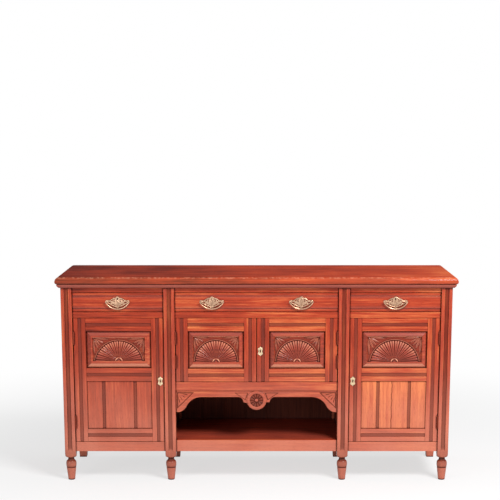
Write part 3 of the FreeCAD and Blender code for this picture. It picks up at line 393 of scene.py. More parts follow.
class Signal:
    """A shader socket that takes part in ordinary arithmetic."""

    def __init__(self, graph, socket):
        self.graph = graph
        self.socket = socket

    def maths(self, operation, *operands):
        return self.graph.node("ShaderNodeMath", {"operation": operation}, dict(enumerate(operands)))

    def __add__(self, other):
        return self.maths("ADD", self, other)

    def __sub__(self, other):
        return self.maths("SUBTRACT", self, other)

    def __rsub__(self, other):
        return self.maths("SUBTRACT", other, self)

    def __mul__(self, other):
        return self.maths("MULTIPLY", self, other)

    __radd__ = __add__
    __rmul__ = __mul__

    def sine(self):
        return self.maths("SINE", self)

    def size(self):
        return self.maths("ABSOLUTE", self)

    def over(self, other):
        return self.maths("MAXIMUM", self, other)

    def band(self, low, high):
        """A smooth rise from 0 at the low value to 1 at the high one, which may lie below it."""
        sockets = {"Value": self, "From Min": low, "From Max": high}
        return self.graph.node("ShaderNodeMapRange", {"interpolation_type": "SMOOTHSTEP"}, sockets)


class Graph:
    """The nodes of one material or of the world, added call by call."""

    def __init__(self, owner):
        owner.use_nodes = True
        self.owner = owner
        self.tree = owner.node_tree
        self.tree.nodes.clear()

    def node(self, kind, settings, sockets, output=0):
        node = self.tree.nodes.new(kind)
        for name, value in settings.items():
            if name == "stops":
                self.set_stops(node.color_ramp, value)
            else:
                setattr(node, name, value)
        for name, value in sockets.items():
            socket = node.inputs[name]
            if isinstance(value, Signal):
                self.tree.links.new(value.socket, socket)
            elif socket.type == "RGBA":
                socket.default_value = (*value[:3], 1)
            else:
                socket.default_value = value
        return Signal(self, node.outputs[output]) if node.outputs else None

    def set_stops(self, ramp, stops):
        while len(ramp.elements) < len(stops):
            ramp.elements.new(1)
        for element, (place, colour) in zip(ramp.elements, stops):
            element.position = place
            element.color = (*colour[:3], 1)

    def vector(self, operation, first, second, output=0):
        return self.node("ShaderNodeVectorMath", {"operation": operation}, {0: first, 1: second}, output)

    def mix(self, factor, first, second):
        settings = {"data_type": "RGBA", "clamp_factor": True}
        return self.node("ShaderNodeMix", settings, {0: factor, 6: first, 7: second}, 2)

    def ramp(self, factor, *stops):
        return self.node("ShaderNodeValToRGB", {"stops": stops}, {"Fac": factor})

    def noise(self, place, scale, detail=2.0, distortion=0.0):
        sockets = {"Vector": place, "Scale": scale, "Detail": detail, "Distortion": distortion}
        return self.node("ShaderNodeTexNoise", {}, sockets)

    def axis(self, vector, name):
        return self.node("ShaderNodeSeparateXYZ", {}, {"Vector": vector}, "XYZ".index(name))

    def place(self):
        return self.node("ShaderNodeTexCoord", {}, {}, "Object")

    def geometry(self, output):
        return self.node("ShaderNodeNewGeometry", {}, {}, output)

    def hollow(self, reach):
        """How far a point is shut in by what stands within reach, from 0 in the open to 1."""
        return 1 - self.node("ShaderNodeAmbientOcclusion", {"samples": 6}, {"Distance": reach}, "AO")

    def carried_grime_and_shade(self):
        return self.node("ShaderNodeAttribute", {"attribute_name": "grime"}, {}, "Fac")

    def edge(self, radius):
        """Where the surface turns within a radius, from 0 on a flat to 1 at a sharp arris."""
        turned = self.node("ShaderNodeBevel", {"samples": 4}, {"Radius": radius})
        return (1 - self.vector("DOT_PRODUCT", turned, self.geometry("Normal"), "Value")).band(0.02, 0.28)

    def bump(self, height, strength, distance):
        sockets = {"Height": height, "Strength": strength, "Distance": distance}
        return self.node("ShaderNodeBump", {}, sockets)

    def surface(self, sockets):
        shader = self.node("ShaderNodeBsdfPrincipled", {}, sockets)
        self.node("ShaderNodeOutputMaterial", {}, {"Surface": shader})
        return self.owner


def finish_colours():
    """The colours that are set in the scene."""
    return bpy.context.scene.chiffonier_finish


def carving_sizes():
    """The carving's sizes that are set in the scene."""
    return bpy.context.scene.chiffonier_carving


# How much the figure of the wood is drawn out along each way of the grain
GRAIN_STRETCH = {"X": (0.04, 1, 1), "Y": (1, 0.04, 1), "Z": (1, 1, 0.04)}


def grain_layers(graph, grain):
    """Tone, fibres and pores of wood whose grain runs along one axis; no two objects are cut alike."""
    chance = graph.node("ShaderNodeObjectInfo", {}, {}, "Random")
    shift = graph.node("ShaderNodeCombineXYZ", {}, {"X": chance * 5.1, "Y": chance * 9.7, "Z": chance * 7.3})
    place = graph.vector("ADD", graph.place(), shift)
    drawn = graph.vector("MULTIPLY", place, GRAIN_STRETCH[grain])
    figure = (graph.noise(drawn, 11.0, 2.0, 0.5) * 60).sine() * 0.5 + 0.5
    streak = graph.noise(drawn, 130.0, 3.0)
    fibre = graph.noise(drawn, 520.0, 2.0)
    pore = graph.noise(drawn, 1100.0, 1.0).band(0.62, 0.72)
    cloud = graph.noise(place, 4.2, 2.0)
    tone = 0.5 + (figure - 0.5) * 0.1 + (streak - 0.5) * 0.62 + (cloud - 0.5) * 0.5 + (fibre - 0.5) * 0.3
    return tone + (chance - 0.5) * 0.06, fibre, pore


class Polish:
    """Old red-brown polish in layers: its colour, the dirt and painted light and shade on it, and the height
    of its surface.
    """

    def __init__(self, name, grain, tone_shift, sweep):
        colours = finish_colours()
        graph = Graph(bpy.data.materials.new(name))
        tone, self.fibre, self.pore = grain_layers(graph, grain)
        self.colours = colours
        self.graph = graph
        self.place = graph.place()
        self.across, self.deep, self.high = (graph.axis(self.place, axis) for axis in "XYZ")
        normal = graph.geometry("Normal")
        self.rightward, self.backward, self.upward = (graph.axis(normal, axis) for axis in "XYZ")
        self.level = self.upward.band(0.4, 0.9)
        self.carried = graph.carried_grime_and_shade()
        # The sweep paints the wood lighter towards the right, a painted light gradient.
        tone = tone + tone_shift + self.across * sweep
        self.wood = graph.ramp(tone, (0.12, colours.heart), (0.5, colours.body), (0.92, colours.bright))
        self.height = self.fibre * 0.5 - self.pore * 0.6
        # Painted shade with dirt: darker in corners, gaps and recesses, and where the mesh carries grime and
        # painted shade.
        corner = graph.hollow(9 * MM).band(0.05, 0.34) * 0.88
        nook = graph.hollow(26 * MM).band(0.2, 0.9) * 0.4
        self.dirt_and_shade = corner.over(nook).over(self.carried.band(0, 1) * 0.85)

    def stain(self, share, colour):
        """Lay a share of a colour over the wood."""
        self.wood = self.graph.mix(share, self.wood, colour)

    def soil_and_shade(self, share):
        """Raise the dirt and painted shade to a share where it is less."""
        self.dirt_and_shade = self.dirt_and_shade.over(share)

    def fade(self):
        """Painted floor bounce: pale patches low down, except on what faces up."""
        patchy = 0.5 + self.graph.noise(self.place, 5.0, 2.0).band(0.25, 0.7) * 0.3
        low_down = self.high.band(0.72 * HEIGHT, 0.1 * HEIGHT)
        self.stain(low_down * patchy * (1 - self.level), self.colours.floor_bounce)

    def dull_behind(self, face):
        """Bloom, dirt and painted shade on flats that are sunk behind a face."""
        sunk = self.backward.band(-0.55, -0.9) * self.deep.band(face + 0.9 * MM, face + 1.6 * MM)
        self.stain(sunk * 0.3, self.colours.bloom_reflection_and_shade)
        self.soil_and_shade(sunk * 0.46)

    def punch(self, ground):
        """A raised panel: its bevels painted by the way they face, with painted shade on the upper and
        left-facing ones and a painted reflection of the floor on the lower ones, and its ground stippled with
        a punch and darkened with dirt and painted shade.
        """
        # Painted shade on the upward and left-facing bevels, and a painted reflection of the floor on the
        # downward ones.
        self.stain(self.upward.band(0.2, 0.34) * 0.4, self.colours.bloom_reflection_and_shade)
        self.stain(self.rightward.band(-0.2, -0.34) * 0.4, self.colours.heart)
        self.stain(self.upward.band(-0.2, -0.34) * 0.48, self.colours.worn_and_highlight)
        cells = self.graph.node("ShaderNodeTexVoronoi", {}, {"Vector": self.place, "Scale": 420.0})
        punched = cells.band(0.5, 0.1)
        sunk = self.deep.band(ground - 0.9 * MM, ground - 0.3 * MM) * self.backward.band(-0.94, -0.99)
        self.height = self.height - punched * sunk * 2.4
        # The punched ground is darkened with dirt and painted shade.
        self.soil_and_shade(sunk * (0.34 + punched * 0.4))

    def dull_beside(self, middle, reach):
        """Bloom between a level and the beads that run at a distance over and under it."""
        off = (self.high - middle).size()
        beside = off.band(0.45 * reach, 0.9 * reach) * off.band(reach + 1 * MM, reach)
        self.stain(beside * 0.45, self.colours.bloom_reflection_and_shade)

    def crack(self, split):
        """A crack that wanders down the wood about an upright line."""
        down = self.graph.vector("MULTIPLY", self.place, (0, 0, 1))
        wander = (self.graph.noise(down, 17.0, 4.0) - 0.5) * 0.024
        gap = (self.across - split + wander).size().band(2.0 * MM, 0.8 * MM)
        self.height = self.height - gap * 4
        self.soil_and_shade(gap * 0.9)

    def wear_and_highlight(self):
        """Grime and painted shade in corners and hollows, and arrises rubbed bright, with wear and a painted
        highlight.
        """
        self.stain(self.dirt_and_shade.over(self.pore * 0.35), self.colours.grime)
        patchy = self.graph.noise(self.place, 60.0, 2.0).band(0.3, 0.62)
        # Arrises painted brighter, with wear and a painted highlight.
        self.stain(self.graph.edge(1.6 * MM) * patchy * (1 - self.dirt_and_shade) * 0.5, self.colours.bright)

    def nose_wear_and_highlight(self, share):
        """A rounded nose, rubbed in patches along its crest with wear and a painted highlight, and painted
        brighter where it faces the front.
        """
        crest = self.upward.band(0.5, 0.8) * self.upward.band(0.99, 0.94)
        patchy = self.graph.noise(self.place, 90.0, 3.0).band(0.34, 0.8)
        self.stain(crest * patchy * share, self.colours.worn_and_highlight)
        # Painted highlight: brighter where the nose faces the front.
        self.stain(self.backward.band(-0.3, -0.8) * share * 0.22, self.colours.bright)

    def surface(self, gloss):
        """The finished material, bare and pale where the carving is rubbed and painted with a highlight, and
        glossy where it is clean.
        """
        bare_and_highlight = (self.carried * -1).band(0, 1)
        self.stain(bare_and_highlight * 0.8, self.colours.worn_and_highlight)
        return self.graph.surface({
            "Base Color": self.wood,
            "Roughness": 0.42 + (self.fibre - 0.5) * 0.2 + self.dirt_and_shade * 0.3,
            "Specular IOR Level": 0.0,
            "Coat Weight": (1 - self.dirt_and_shade) * (1 - bare_and_highlight) * (gloss - self.level * 0.9 * gloss),
            "Coat Roughness": 0.16,
            "Normal": self.graph.bump(self.height, 0.35, 0.35 * MM),
        })


def made_once(make):
    """A finish that is made the first time that its name is asked for."""
    def finish(name, *values, **options):
        return bpy.data.materials.get(name) or make(name, *values, **options)
    return finish


@made_once
def polished_wood(name, grain, face=None, tone_shift=0.0, sweep=0.0, haze=0.0, gloss=0.4, nose=0.0,
                  ground=None, split=None, beads=None):
    """Old polish, with the haze, sunk face, punched ground, beads, crack or worn and highlighted nose of one
    piece.
    """
    polish = Polish(name, grain, tone_shift, sweep)
    polish.fade()
    # On the moulding the haze is a painted reflection of the floor.
    if haze:
        polish.stain(haze, polish.colours.bloom_reflection_and_shade)
    if face is not None:
        polish.dull_behind(face)
    if ground is not None:
        polish.punch(ground)
    if beads is not None:
        polish.dull_beside(*beads)
    if split is not None:
        polish.crack(split)
    polish.wear_and_highlight()
    if nose:
        polish.nose_wear_and_highlight(nose)
    return polish.surface(gloss)


@made_once
def plain_wood(name, grain, dark, pale):
    """Unpolished wood of the insides and the back, dry and darkened with age."""
    colours = finish_colours()
    graph = Graph(bpy.data.materials.new(name))
    tone, fibre, pore = grain_layers(graph, grain)
    wood = graph.ramp(tone, (0.15, dark), (0.75, pale))
    # Painted shade with dirt: darker in corners and recesses.
    dirt_and_shade = graph.hollow(25 * MM).band(0.1, 0.8)
    wood = graph.mix((dirt_and_shade * 0.7).over(pore * 0.3), wood, colours.grime)
    return graph.surface({
        "Base Color": wood,
        "Roughness": 0.72 + (fibre - 0.5) * 0.25,
        "Specular IOR Level": 0.25,
        "Normal": graph.bump(fibre - pore, 0.4, 0.4 * MM),
    })


@made_once
def rubbed_metal(name, bright, dull, rough, reach):
    """Metal rubbed bright where fingers reach it and dull in its hollows."""
    graph = Graph(bpy.data.materials.new(name))
    place = graph.place()
    mottle = graph.noise(place, 160.0, 3.0)
    scratch = graph.noise(graph.vector("MULTIPLY", place, (1, 1, 8)), 900.0, 2.0)
    hollow = graph.hollow(reach).band(0.15, 0.8)
    stain = (hollow * 0.9).over(mottle.band(0.52, 0.78) * 0.4).over(graph.carried_grime_and_shade() * 0.9)
    return graph.surface({
        "Base Color": graph.mix(stain, bright, dull),
        "Metallic": 0.92 - stain * 0.3,
        "Roughness": rough + stain * 0.25 + (scratch - 0.5) * 0.15,
        "Normal": graph.bump(scratch * 0.4 + mottle, 0.25, 0.2 * MM),
    })


# Bright colour, dull colour, roughness and reach of the hollows of each metal
METALS = {
    "rubbed_brass": ("brass", "tarnish", 0.3, 3 * MM),
    "pale_brass": ("pale_brass", "tarnish", 0.3, 3 * MM),
    "brown_bronze": ("bronze", "grime", 0.45, 3 * MM),
    "dull_iron": ("iron", "grime", 0.46, 4 * MM),
}


def metal(name):
    """One of the metals by name."""
    bright, dull, rough, reach = METALS[name]
    colours = finish_colours()
    return rubbed_metal(name, getattr(colours, bright), getattr(colours, dull), rough, reach)


# Top

# How far the rounded nose reaches in over the top, down from the top, and in again under its fullest point
NOSE_INSET = 22 * MM
NOSE_DROP = 22 * MM
NOSE_UNDERCUT = 6.4 * MM
NOSE_STEPS = 9
UNDERCUT_STEPS = 6
# Inset from the top's edge, drop below its underside and grime and painted shade of the fascia planted there,
# darkest in the quirk under the nose, in mm
FASCIA = (
    (8.0, 0.0, 0.6), (8.0, 2.2, 0.5), (7.2, 3.2, 0.0), (7.6, 7.6, 0.0),
    (9.6, 11.4, 0.0), (12.6, 14.2, 0.0), (15.0, 16.6, 0.2), (16.0, 18.0, 0.6),
)


def three_sides(left, front, back, level, grime=0.0):
    """Corners of the left end, front and right end of an outline that is even about the middle."""
    return [(left, back, level, grime), (left, front, level, grime),
            (-left, front, level, grime), (-left, back, level, grime)]


def top_edge(inset, level, grime=0.0):
    """The top's outline, drawn in by an inset on three sides."""
    low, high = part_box("top_board")
    return three_sides(low.x + inset, low.y + inset, high.y, level, grime)


def nosed_board(node):
    """The board of the top, its front and ends rounded over and undercut below their fullest point."""
    low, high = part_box(node)
    fullest = high.z - NOSE_DROP
    rows = []
    for step in range(NOSE_STEPS + 1):
        angle = math.radians(90 * step / NOSE_STEPS)
        rows.append(top_edge(NOSE_INSET * (1 - math.sin(angle)), fullest + NOSE_DROP * math.cos(angle)))
    for step in range(1, UNDERCUT_STEPS + 1):
        angle = math.radians(90 * step / UNDERCUT_STEPS)
        level = fullest - (fullest - low.z) * math.sin(angle)
        rows.append(top_edge(NOSE_UNDERCUT * (1 - math.cos(angle)), level))
    shell = Shell()
    shell.tube(rows)
    return shell.mesh(node + "_nosed", crease=30)


def fascia_strip(node):
    """A strip round the front and ends under the nose, with the posts at its back."""
    low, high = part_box(node)
    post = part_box("front_post_outer_left")[0]
    rows = [top_edge(inset * MM, high.z - drop * MM, grime) for inset, drop, grime in FASCIA]
    rows += [three_sides(post.x, post.y, high.y, level) for level in (low.z, high.z)]
    shell = Shell()
    indexed = shell.loft(rows)
    shell.strip(indexed[-1], indexed[0])
    for end in (0, -1):
        shell.cap([row[end] for row in indexed])
    return shell.mesh(node + "_run", crease=30)


class CHIFFONIER_OT_top(bpy.types.Operator):
    """Round the nose of the top and run the fascia under it"""
    bl_idname = "chiffonier.top"
    bl_label = "Top"

    def execute(self, context):
        # The sweep paints the top lighter towards the right, a painted light gradient; the moulding's haze is
        # a painted reflection of the floor.
        top_wood = polished_wood("top_wood", "X", tone_shift=-0.12, sweep=0.16, nose=0.42)
        moulding_wood = polished_wood("moulding_wood", "X", haze=0.8)
        board = nosed_board("top_board")
        add_piece("top_board_nosed", board, "carcass", "show_wood", top_wood, "top_board")
        strip = fascia_strip("top_moulding")
        add_piece("top_moulding_run", strip, "carcass", "show_wood", moulding_wood, "top_moulding")
        return {"FINISHED"}


# Posts

# Height, radius and grime and painted shade of the turned foot, darkest in its grooves, up to the shoulder
# under the square, in mm
FOOT_PROFILE = (
    (0.0, 13.6, 0.5), (0.8, 14.8, 0.3), (2.6, 16.0, 0.3), (8.0, 16.6, 0.24),
    (24.0, 18.4, 0.24), (44.0, 20.7, 0.28), (57.5, 22.2, 0.3), (59.0, 22.0, 0.6),
    (60.0, 20.8, 1.0), (61.6, 20.8, 1.0), (62.4, 22.6, 0.8), (65.0, 23.1, 0.56),
    (70.0, 23.8, 0.44), (75.0, 24.2, 0.4), (79.0, 24.3, 0.44), (84.0, 23.8, 0.5),
    (88.0, 22.6, 0.54), (91.0, 20.6, 0.6), (92.6, 18.8, 0.6), (93.2, 17.2, 0.8),
    (95.0, 16.6, 0.8), (98.0, 14.9, 0.9), (101.0, 14.0, 1.0), (104.5, 14.0, 1.0),
    (106.4, 14.7, 0.9), (107.6, 16.4, 0.8), (108.6, 19.0, 0.7), (109.8, 22.8, 0.6),
    (112.0, 26.2, 0.5), (116.0, 29.8, 0.42), (121.0, 32.8, 0.4), (127.0, 35.4, 0.4),
)
# Height, share of the channel's depth and darkening, more towards the foot, where the channel runs out at the
# foot of a post, in mm
CHANNEL_FADE = (
    (138.0, 0.0, 0.4), (140.0, 0.12, 0.38), (143.0, 0.42, 0.36), (147.0, 0.75, 0.34),
    (153.0, 0.95, 0.3), (160.0, 1.0, 0.27), (220.0, 1.0, 0.12), (300.0, 1.0, 0.0),
)
POST_ARRIS = 2.5 * MM
ARRIS_STEPS = 4
FLANK_STEPS = 6
CHANNEL_HALF = 9.5 * MM
CHANNEL_DEPTH = 3.0 * MM
CHANNEL_SLOPE = 0.5 * MM
CHANNEL_GRIME = 0.62
# Bolts of the side doors' locks that the inner posts take, and the room for their throw and round them
POST_BOLTS = {
    "front_post_inner_left": "left_door_lock_bolt",
    "front_post_inner_right": "right_door_lock_bolt",
}
BOLT_ROOM = Vector((8.6, 0.5, 0.5)) * MM


def post_section(half):
    """A post's outline from above as (x, y, sunk): rounded arrises, and a depth at the channel's floor."""
    inner = half - POST_ARRIS
    right = [(x, -half, CHANNEL_DEPTH) for x in (0.0, CHANNEL_HALF * 0.6, CHANNEL_HALF - CHANNEL_SLOPE)]
    right += [(x, -half, 0) for x in (CHANNEL_HALF, (CHANNEL_HALF + inner) / 2)]
    for index in range(ARRIS_STEPS):
        angle = math.radians(90 * index / ARRIS_STEPS)
        right.append((inner + POST_ARRIS * math.sin(angle), -inner - POST_ARRIS * math.cos(angle), 0))
    for index in range(FLANK_STEPS + 1):
        right.append((half, -inner + 2 * inner * index / FLANK_STEPS, 0))
    right += [(x, half, 0) for x in (inner, half * 0.55, half * 0.25)]
    left = [(-x, y, sunk) for x, y, sunk in reversed(right) if x > 0]
    return right + [(0.0, half, 0)] + left


def post_mesh(node):
    """A square post with a stopped channel up its front, drawn in to a turned foot."""
    low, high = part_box(node)
    middle = (low + high) / 2
    section = post_section((high.x - low.x) / 2)
    rows = []
    for level, radius, grime in FOOT_PROFILE:
        row = []
        for x, y, _ in section:
            reach = min(1.0, radius * MM / math.hypot(x, y))
            row.append((middle.x + x * reach, middle.y + y * reach, level * MM, grime))
        rows.append(row)
    for level, share, grime in CHANNEL_FADE + ((high.z / MM, 1.0, 0.0),):
        row = []
        for x, y, sunk in section:
            soiled = max(grime, CHANNEL_GRIME * share) if sunk else grime
            row.append((middle.x + x, middle.y + y + sunk * share, level * MM, soiled))
        rows.append(row)
    shell = Shell()
    shell.tube(rows)
    return shell.mesh(node + "_turned")


class CHIFFONIER_OT_posts(bpy.types.Operator):
    """Turn the feet of the front posts, run a channel up each and cut the pockets for the bolts"""
    bl_idname = "chiffonier.posts"
    bl_label = "Front posts"

    def execute(self, context):
        wood = polished_wood("post_wood", "Z", gloss=0.7)
        for node in POSTS:
            mesh = post_mesh(node)
            if node in POST_BOLTS:
                low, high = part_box(POST_BOLTS[node])
                mesh = with_pocket(mesh, low - BOLT_ROOM, high + BOLT_ROOM)
            add_piece(node + "_turned", mesh, "carcass", "show_wood", wood, node)
        return {"FINISHED"}


# Carved fan panels

def rim_arc(half, rise):
    """Radius of a fan's rim, and the height of the rim's centre over the fan's foot."""
    radius = (half * half + rise * rise) / (2 * rise)
    return radius, rise - radius


def fan_reach(angle, half, rise):
    """Distance from the hub to the rim."""
    radius, drop = rim_arc(half, rise)
    return drop * math.sin(angle) + math.sqrt(radius * radius - (drop * math.cos(angle)) ** 2)


# Distance, height and grime and painted shade across the fan's hub: a shallow boss, a dark groove and a ring
# rubbed and painted with a highlight, in mm
HUB_PROFILE = (
    (0.0, 3.6, 0.2), (5.0, 3.4, 0.3), (8.4, 2.6, 0.6), (10.4, 1.6, 1.0), (11.0, 1.6, 1.0), (11.8, 4.2, -0.3),
    (13.2, 5.7, -0.8), (15.0, 6.2, -1.0), (16.8, 5.6, -0.8), (18.4, 3.9, 0.4), (19.2, 2.0, 1.0),
)
# Steps along a ray, across it, along the bead and along a leaf
RAY_STEPS = 12
RAY_SLICES = 6
BEAD_STEPS = 60
LEAF_STEPS = 8
# How far the rays lie under the border, how far past the hub they start and how far the fan's foot lies
# over the ground
RAY_SINK = 0.5 * MM
RAY_START = 0.6 * MM
FOOT_LIFT = 0.06 * MM
BEAD_WIDTH = 4.6 * MM
BEAD_RISE = 3.6 * MM
LEAF_RISE = 3.2 * MM


def eased(value, low, high):
    """A smooth rise from 0 at the low value to 1 at the high one."""
    share = min(1.0, max(0.0, (value - low) / (high - low)))
    return share * share * (3 - 2 * share)


def fan_column(angle, side, share_cut, half, rise, sizes):
    """A line from the hub to the rim as (distance, height over the ground, grime and painted shade, below
    zero where it is rubbed and painted with a highlight).

    Side is 0 along the middle of a ray and 1 or -1 in the cuts beside it.
    """
    top = sizes.sink - RAY_SINK
    notch = max(0.0, (abs(side) - 0.4) / 0.6) ** 1.4 * share_cut
    shaded = 1 - eased(math.sin(angle), 0.08, 0.5)
    # The hub ring's wear and painted highlight, strongest on the diagonals.
    ring_wear_and_highlight = 0.3 + 0.7 * math.sin(2 * angle) ** 2
    points = []
    for distance, height, grime in HUB_PROFILE:
        points.append((distance * MM, height * MM, grime if grime > 0 else grime * ring_wear_and_highlight))
    start = sizes.hub + RAY_START
    end = fan_reach(angle, half, rise) - sizes.scallop * (1 - math.sqrt(1 - side * side))
    for index in range(RAY_STEPS + 1):
        share = index / RAY_STEPS
        distance = start + (end - start) * share
        open_part = eased(share, 0.35, 0.8)
        depth = min(sizes.cut, distance * math.pi / sizes.rays * 0.4) * notch
        # Ray crowns paler towards the rim with wear and a painted highlight; the cuts, the inner part and the
        # lowest rays darker with dirt and painted shade.
        wear_and_highlight = (0.3 + 0.2 * eased(share, 0.75, 0.95)) * open_part * (1 - notch) * (1 - shaded)
        grime = 0.3 * (1 - open_part) + 0.9 * notch * open_part + 0.24 * shaded - wear_and_highlight
        points.append((distance, top - depth, grime))
    fall = top - sizes.cut * notch
    points.append((end + 1.2 * MM, fall - 0.7 * MM, 0.2 + notch))
    points.append((end + 1.9 * MM, fall / 2 - 0.6 * MM, 0.9))
    points.append((end + 2.1 * MM, FOOT_LIFT, 1.0))
    shore = fan_reach(angle, half, rise) + sizes.bead - 1.6 * MM
    points.append((shore, FOOT_LIFT, 0.9))
    points.append((shore + 0.2 * MM, -0.3 * MM, 0.9))
    return points


def carve_fan(shell, hub, ground, half, rise, sizes):
    """Rounded rays from a ringed hub to a scalloped rim, with a bead round them.

    Every other cut between the rays is shallow.
    """
    spread = math.pi / sizes.rays
    rows = []
    for index in range(sizes.rays * RAY_SLICES + 1):
        angle = index * spread / RAY_SLICES
        ray = index / RAY_SLICES + 0.5
        side = ray % 1 * 2 - 1
        share_cut = 1.0 if round(ray) % 2 else 0.6
        row = []
        for distance, height, grime in fan_column(angle, side, share_cut, half, rise, sizes):
            x, z = polar(hub, distance, angle)
            row.append((x, ground - height, z, grime))
        rows.append(row)
    indexed = shell.loft(rows)
    for row in (indexed[0], indexed[-1]):
        foot = shell.row((shell.points[i].x, ground + 0.3 * MM, shell.points[i].z) for i in row)
        shell.strip(row, foot)
    rim = []
    for index in range(BEAD_STEPS + 1):
        angle = math.pi * index / BEAD_STEPS
        rim.append(polar(hub, fan_reach(angle, half, rise) + sizes.bead, angle))
    raise_cord(shell, rim, BEAD_WIDTH, ground, BEAD_RISE)


def carve_leaf(shell, foot, angle, length, width, ground):
    """A pointed leaf with a sunk midrib, from its foot outwards along an angle."""
    along = Vector((math.cos(angle), math.sin(angle)))
    across = Vector((-along.y, along.x))
    rows = []
    for index in range(LEAF_STEPS + 1):
        share = index / LEAF_STEPS
        half = width / 2 * math.sin(math.pi * min(1.0, share * 1.02 + 0.02)) ** 0.75 * (1 - 0.25 * share)
        row = []
        for side in (-1, -0.6, -0.12, 0, 0.12, 0.6, 1):
            flat = foot + along * length * share + across * half * side
            crown = LEAF_RISE * (1 - abs(side) ** 2.2) * math.sin(math.pi * (0.08 + 0.9 * share)) ** 0.5
            rib = 0.45 * crown if side == 0 else 0.0
            hem = abs(side) == 1
            sunk = rib - crown + BEDDING * hem
            # Hems and midrib darker with dirt and painted shade, the crown paler with wear and a painted
            # highlight.
            row.append((flat.x, ground + sunk, flat.y, 1.0 if hem or rib else -0.3))
        rows.append(row)
    shell.loft(rows)


# Leaves that fill a fan panel's corners: direction in degrees, then the foot's distance from the corner,
# length and width as shares of the room between the corner and the bead
SPANDREL_LEAVES = ((184, 0.12, 1.34, 0.25), (205, 0.22, 0.86, 0.25), (225, 0.07, 0.9, 0.28),
                   (245, 0.22, 0.86, 0.25), (266, 0.12, 1.34, 0.25))
# Half width and rise of each door's fan, lift of its foot over the sight edge and border beside it, in mm
FANS = {
    "left_door": (106, 91, 33, 7),
    "right_door": (108, 98, 28.5, 2),
    "centre_left_door": (93, 97.5, 31, 2),
    "centre_right_door": (92, 97.5, 31, 2),
}
# How far the door's frame laps over a fan panel, at the sides and top and at the foot
FRAME_LAP = 7 * MM
FRAME_LAP_BELOW = 8 * MM
TONGUE_THICK = 3.6 * MM
# How far in the slope from the border to the ground reaches, and the corner that the leaves start from
GROUND_SLOPE = 4.4 * MM
LEAF_CORNER = 4 * MM


def sight_edges(node):
    """Where the door's frame covers a fan panel: left, right, lower and upper edge of what is seen."""
    low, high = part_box(node)
    return low.x + FRAME_LAP, high.x - FRAME_LAP, low.z + FRAME_LAP_BELOW, high.z - FRAME_LAP


def raised_panel_mesh(node, lift, margin):
    """A bevelled panel with a thin tongue round it and a sunk ground behind a plain border."""
    sizes = carving_sizes()
    low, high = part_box(node)
    x0, x1, z0, z1 = sight_edges(node)
    tongue = high.y - TONGUE_THICK
    field = low.y
    ground = field + sizes.sink
    border = sizes.bevel + margin

    def frame_at(inset, y, grime=0.0):
        return rectangle(x0 + inset, x1 - inset, z0 + inset, z1 - inset, y, grime)

    def opening_at(inset, y, grime=0.0):
        return rectangle(x0 + border + inset, x1 - border - inset, z0 + lift, z1 - border - inset, y, grime)

    shell = Shell()
    rows = shell.loft([
        rectangle(low.x, high.x, low.z, high.z, high.y),
        rectangle(low.x, high.x, low.z, high.z, tongue),
        # A painted shadow line at the sight edge and painted shade where the bevel meets the border.
        frame_at(0, tongue, 0.8),
        frame_at(1.2 * MM, tongue - 0.3 * MM, 0.4),
        frame_at(2.6 * MM, tongue - 0.7 * MM),
        frame_at(sizes.bevel - 1.4 * MM, field + 1.1 * MM),
        frame_at(sizes.bevel, field + 1.0 * MM, 0.6),
        frame_at(sizes.bevel + 0.4 * MM, field + 0.2 * MM),
        frame_at(sizes.bevel + 1.0 * MM, field),
        opening_at(-0.6 * MM, field),
        opening_at(0.2 * MM, field + 0.3 * MM),
        opening_at(GROUND_SLOPE - 1.0 * MM, ground - 0.3 * MM, 0.1),
        opening_at(GROUND_SLOPE, ground, 0.1),
    ], closed=True)
    shell.cap(rows[0])
    shell.cap(rows[-1])
    return shell.mesh(node + "_raised", crease=18)


def carved_fan_mesh(node, half, rise, lift, margin):
    """The fan on its sunk ground and the leaves in the corners over it."""
    sizes = carving_sizes()
    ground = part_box(node)[0].y + sizes.sink
    x0, x1, z0, z1 = sight_edges(node)
    border = sizes.bevel + margin + LEAF_CORNER
    middle = (x0 + x1) / 2
    radius, drop = rim_arc(half, rise)
    shell = Shell()
    carve_fan(shell, (middle, z0 + lift), ground, half, rise, sizes)
    for sign in (-1, 1):
        corner = Vector((middle + sign * ((x1 - x0) / 2 - border), z1 - border))
        room = (corner - Vector((middle, z0 + lift + drop))).length - radius - 1.4 * sizes.bead
        for degrees, start, length, width in SPANDREL_LEAVES:
            angle = math.radians(degrees) if sign > 0 else math.pi - math.radians(degrees)
            foot = Vector(polar(corner, start * room, angle))
            carve_leaf(shell, foot, angle, length * room, width * room, ground)
    return shell.mesh(node + "_carved", crease=48)


class CHIFFONIER_OT_fan_panels(bpy.types.Operator):
    """Raise the four upper panels of the doors and carve a fan in each"""
    bl_idname = "chiffonier.fan_panels"
    bl_label = "Carved fan panels"

    def execute(self, context):
        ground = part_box("left_door_fan_panel")[0].y + carving_sizes().sink
        panel_wood = polished_wood("panel_wood", "X", tone_shift=-0.05, haze=0.1, gloss=0.6, ground=ground)
        carved_wood = polished_wood("carved_wood", "X", tone_shift=-0.06, haze=0.46, gloss=0.3)
        for door in DOORS:
            node = door + "_fan_panel"
            half, rise, lift, margin = (size * MM for size in FANS[door])
            panel = raised_panel_mesh(node, lift, margin)
            add_piece(node + "_raised", panel, door, "show_wood", panel_wood, node)
            carving = carved_fan_mesh(node, half, rise, lift, margin)
            add_piece(node + "_carved", carving, door, "show_wood", carved_wood)
        return {"FINISHED"}


# Apron

# Roundel's radius and straight edge's drop as shares of the recess's height
ROUNDEL_SHARE = 0.1957
EDGE_SHARE = 0.132
# Widths along the apron's lower edge: the step beside the roundel, the curve beside that, a bracket's flat
# tip and a bracket's reach
APRON_STEP = 16 * MM
APRON_CURVE = 23 * MM
BRACKET_TIP = 17 * MM
BRACKET_REACH = 118 * MM
CURVE_STEPS = 8
ROUND_STEPS = 24
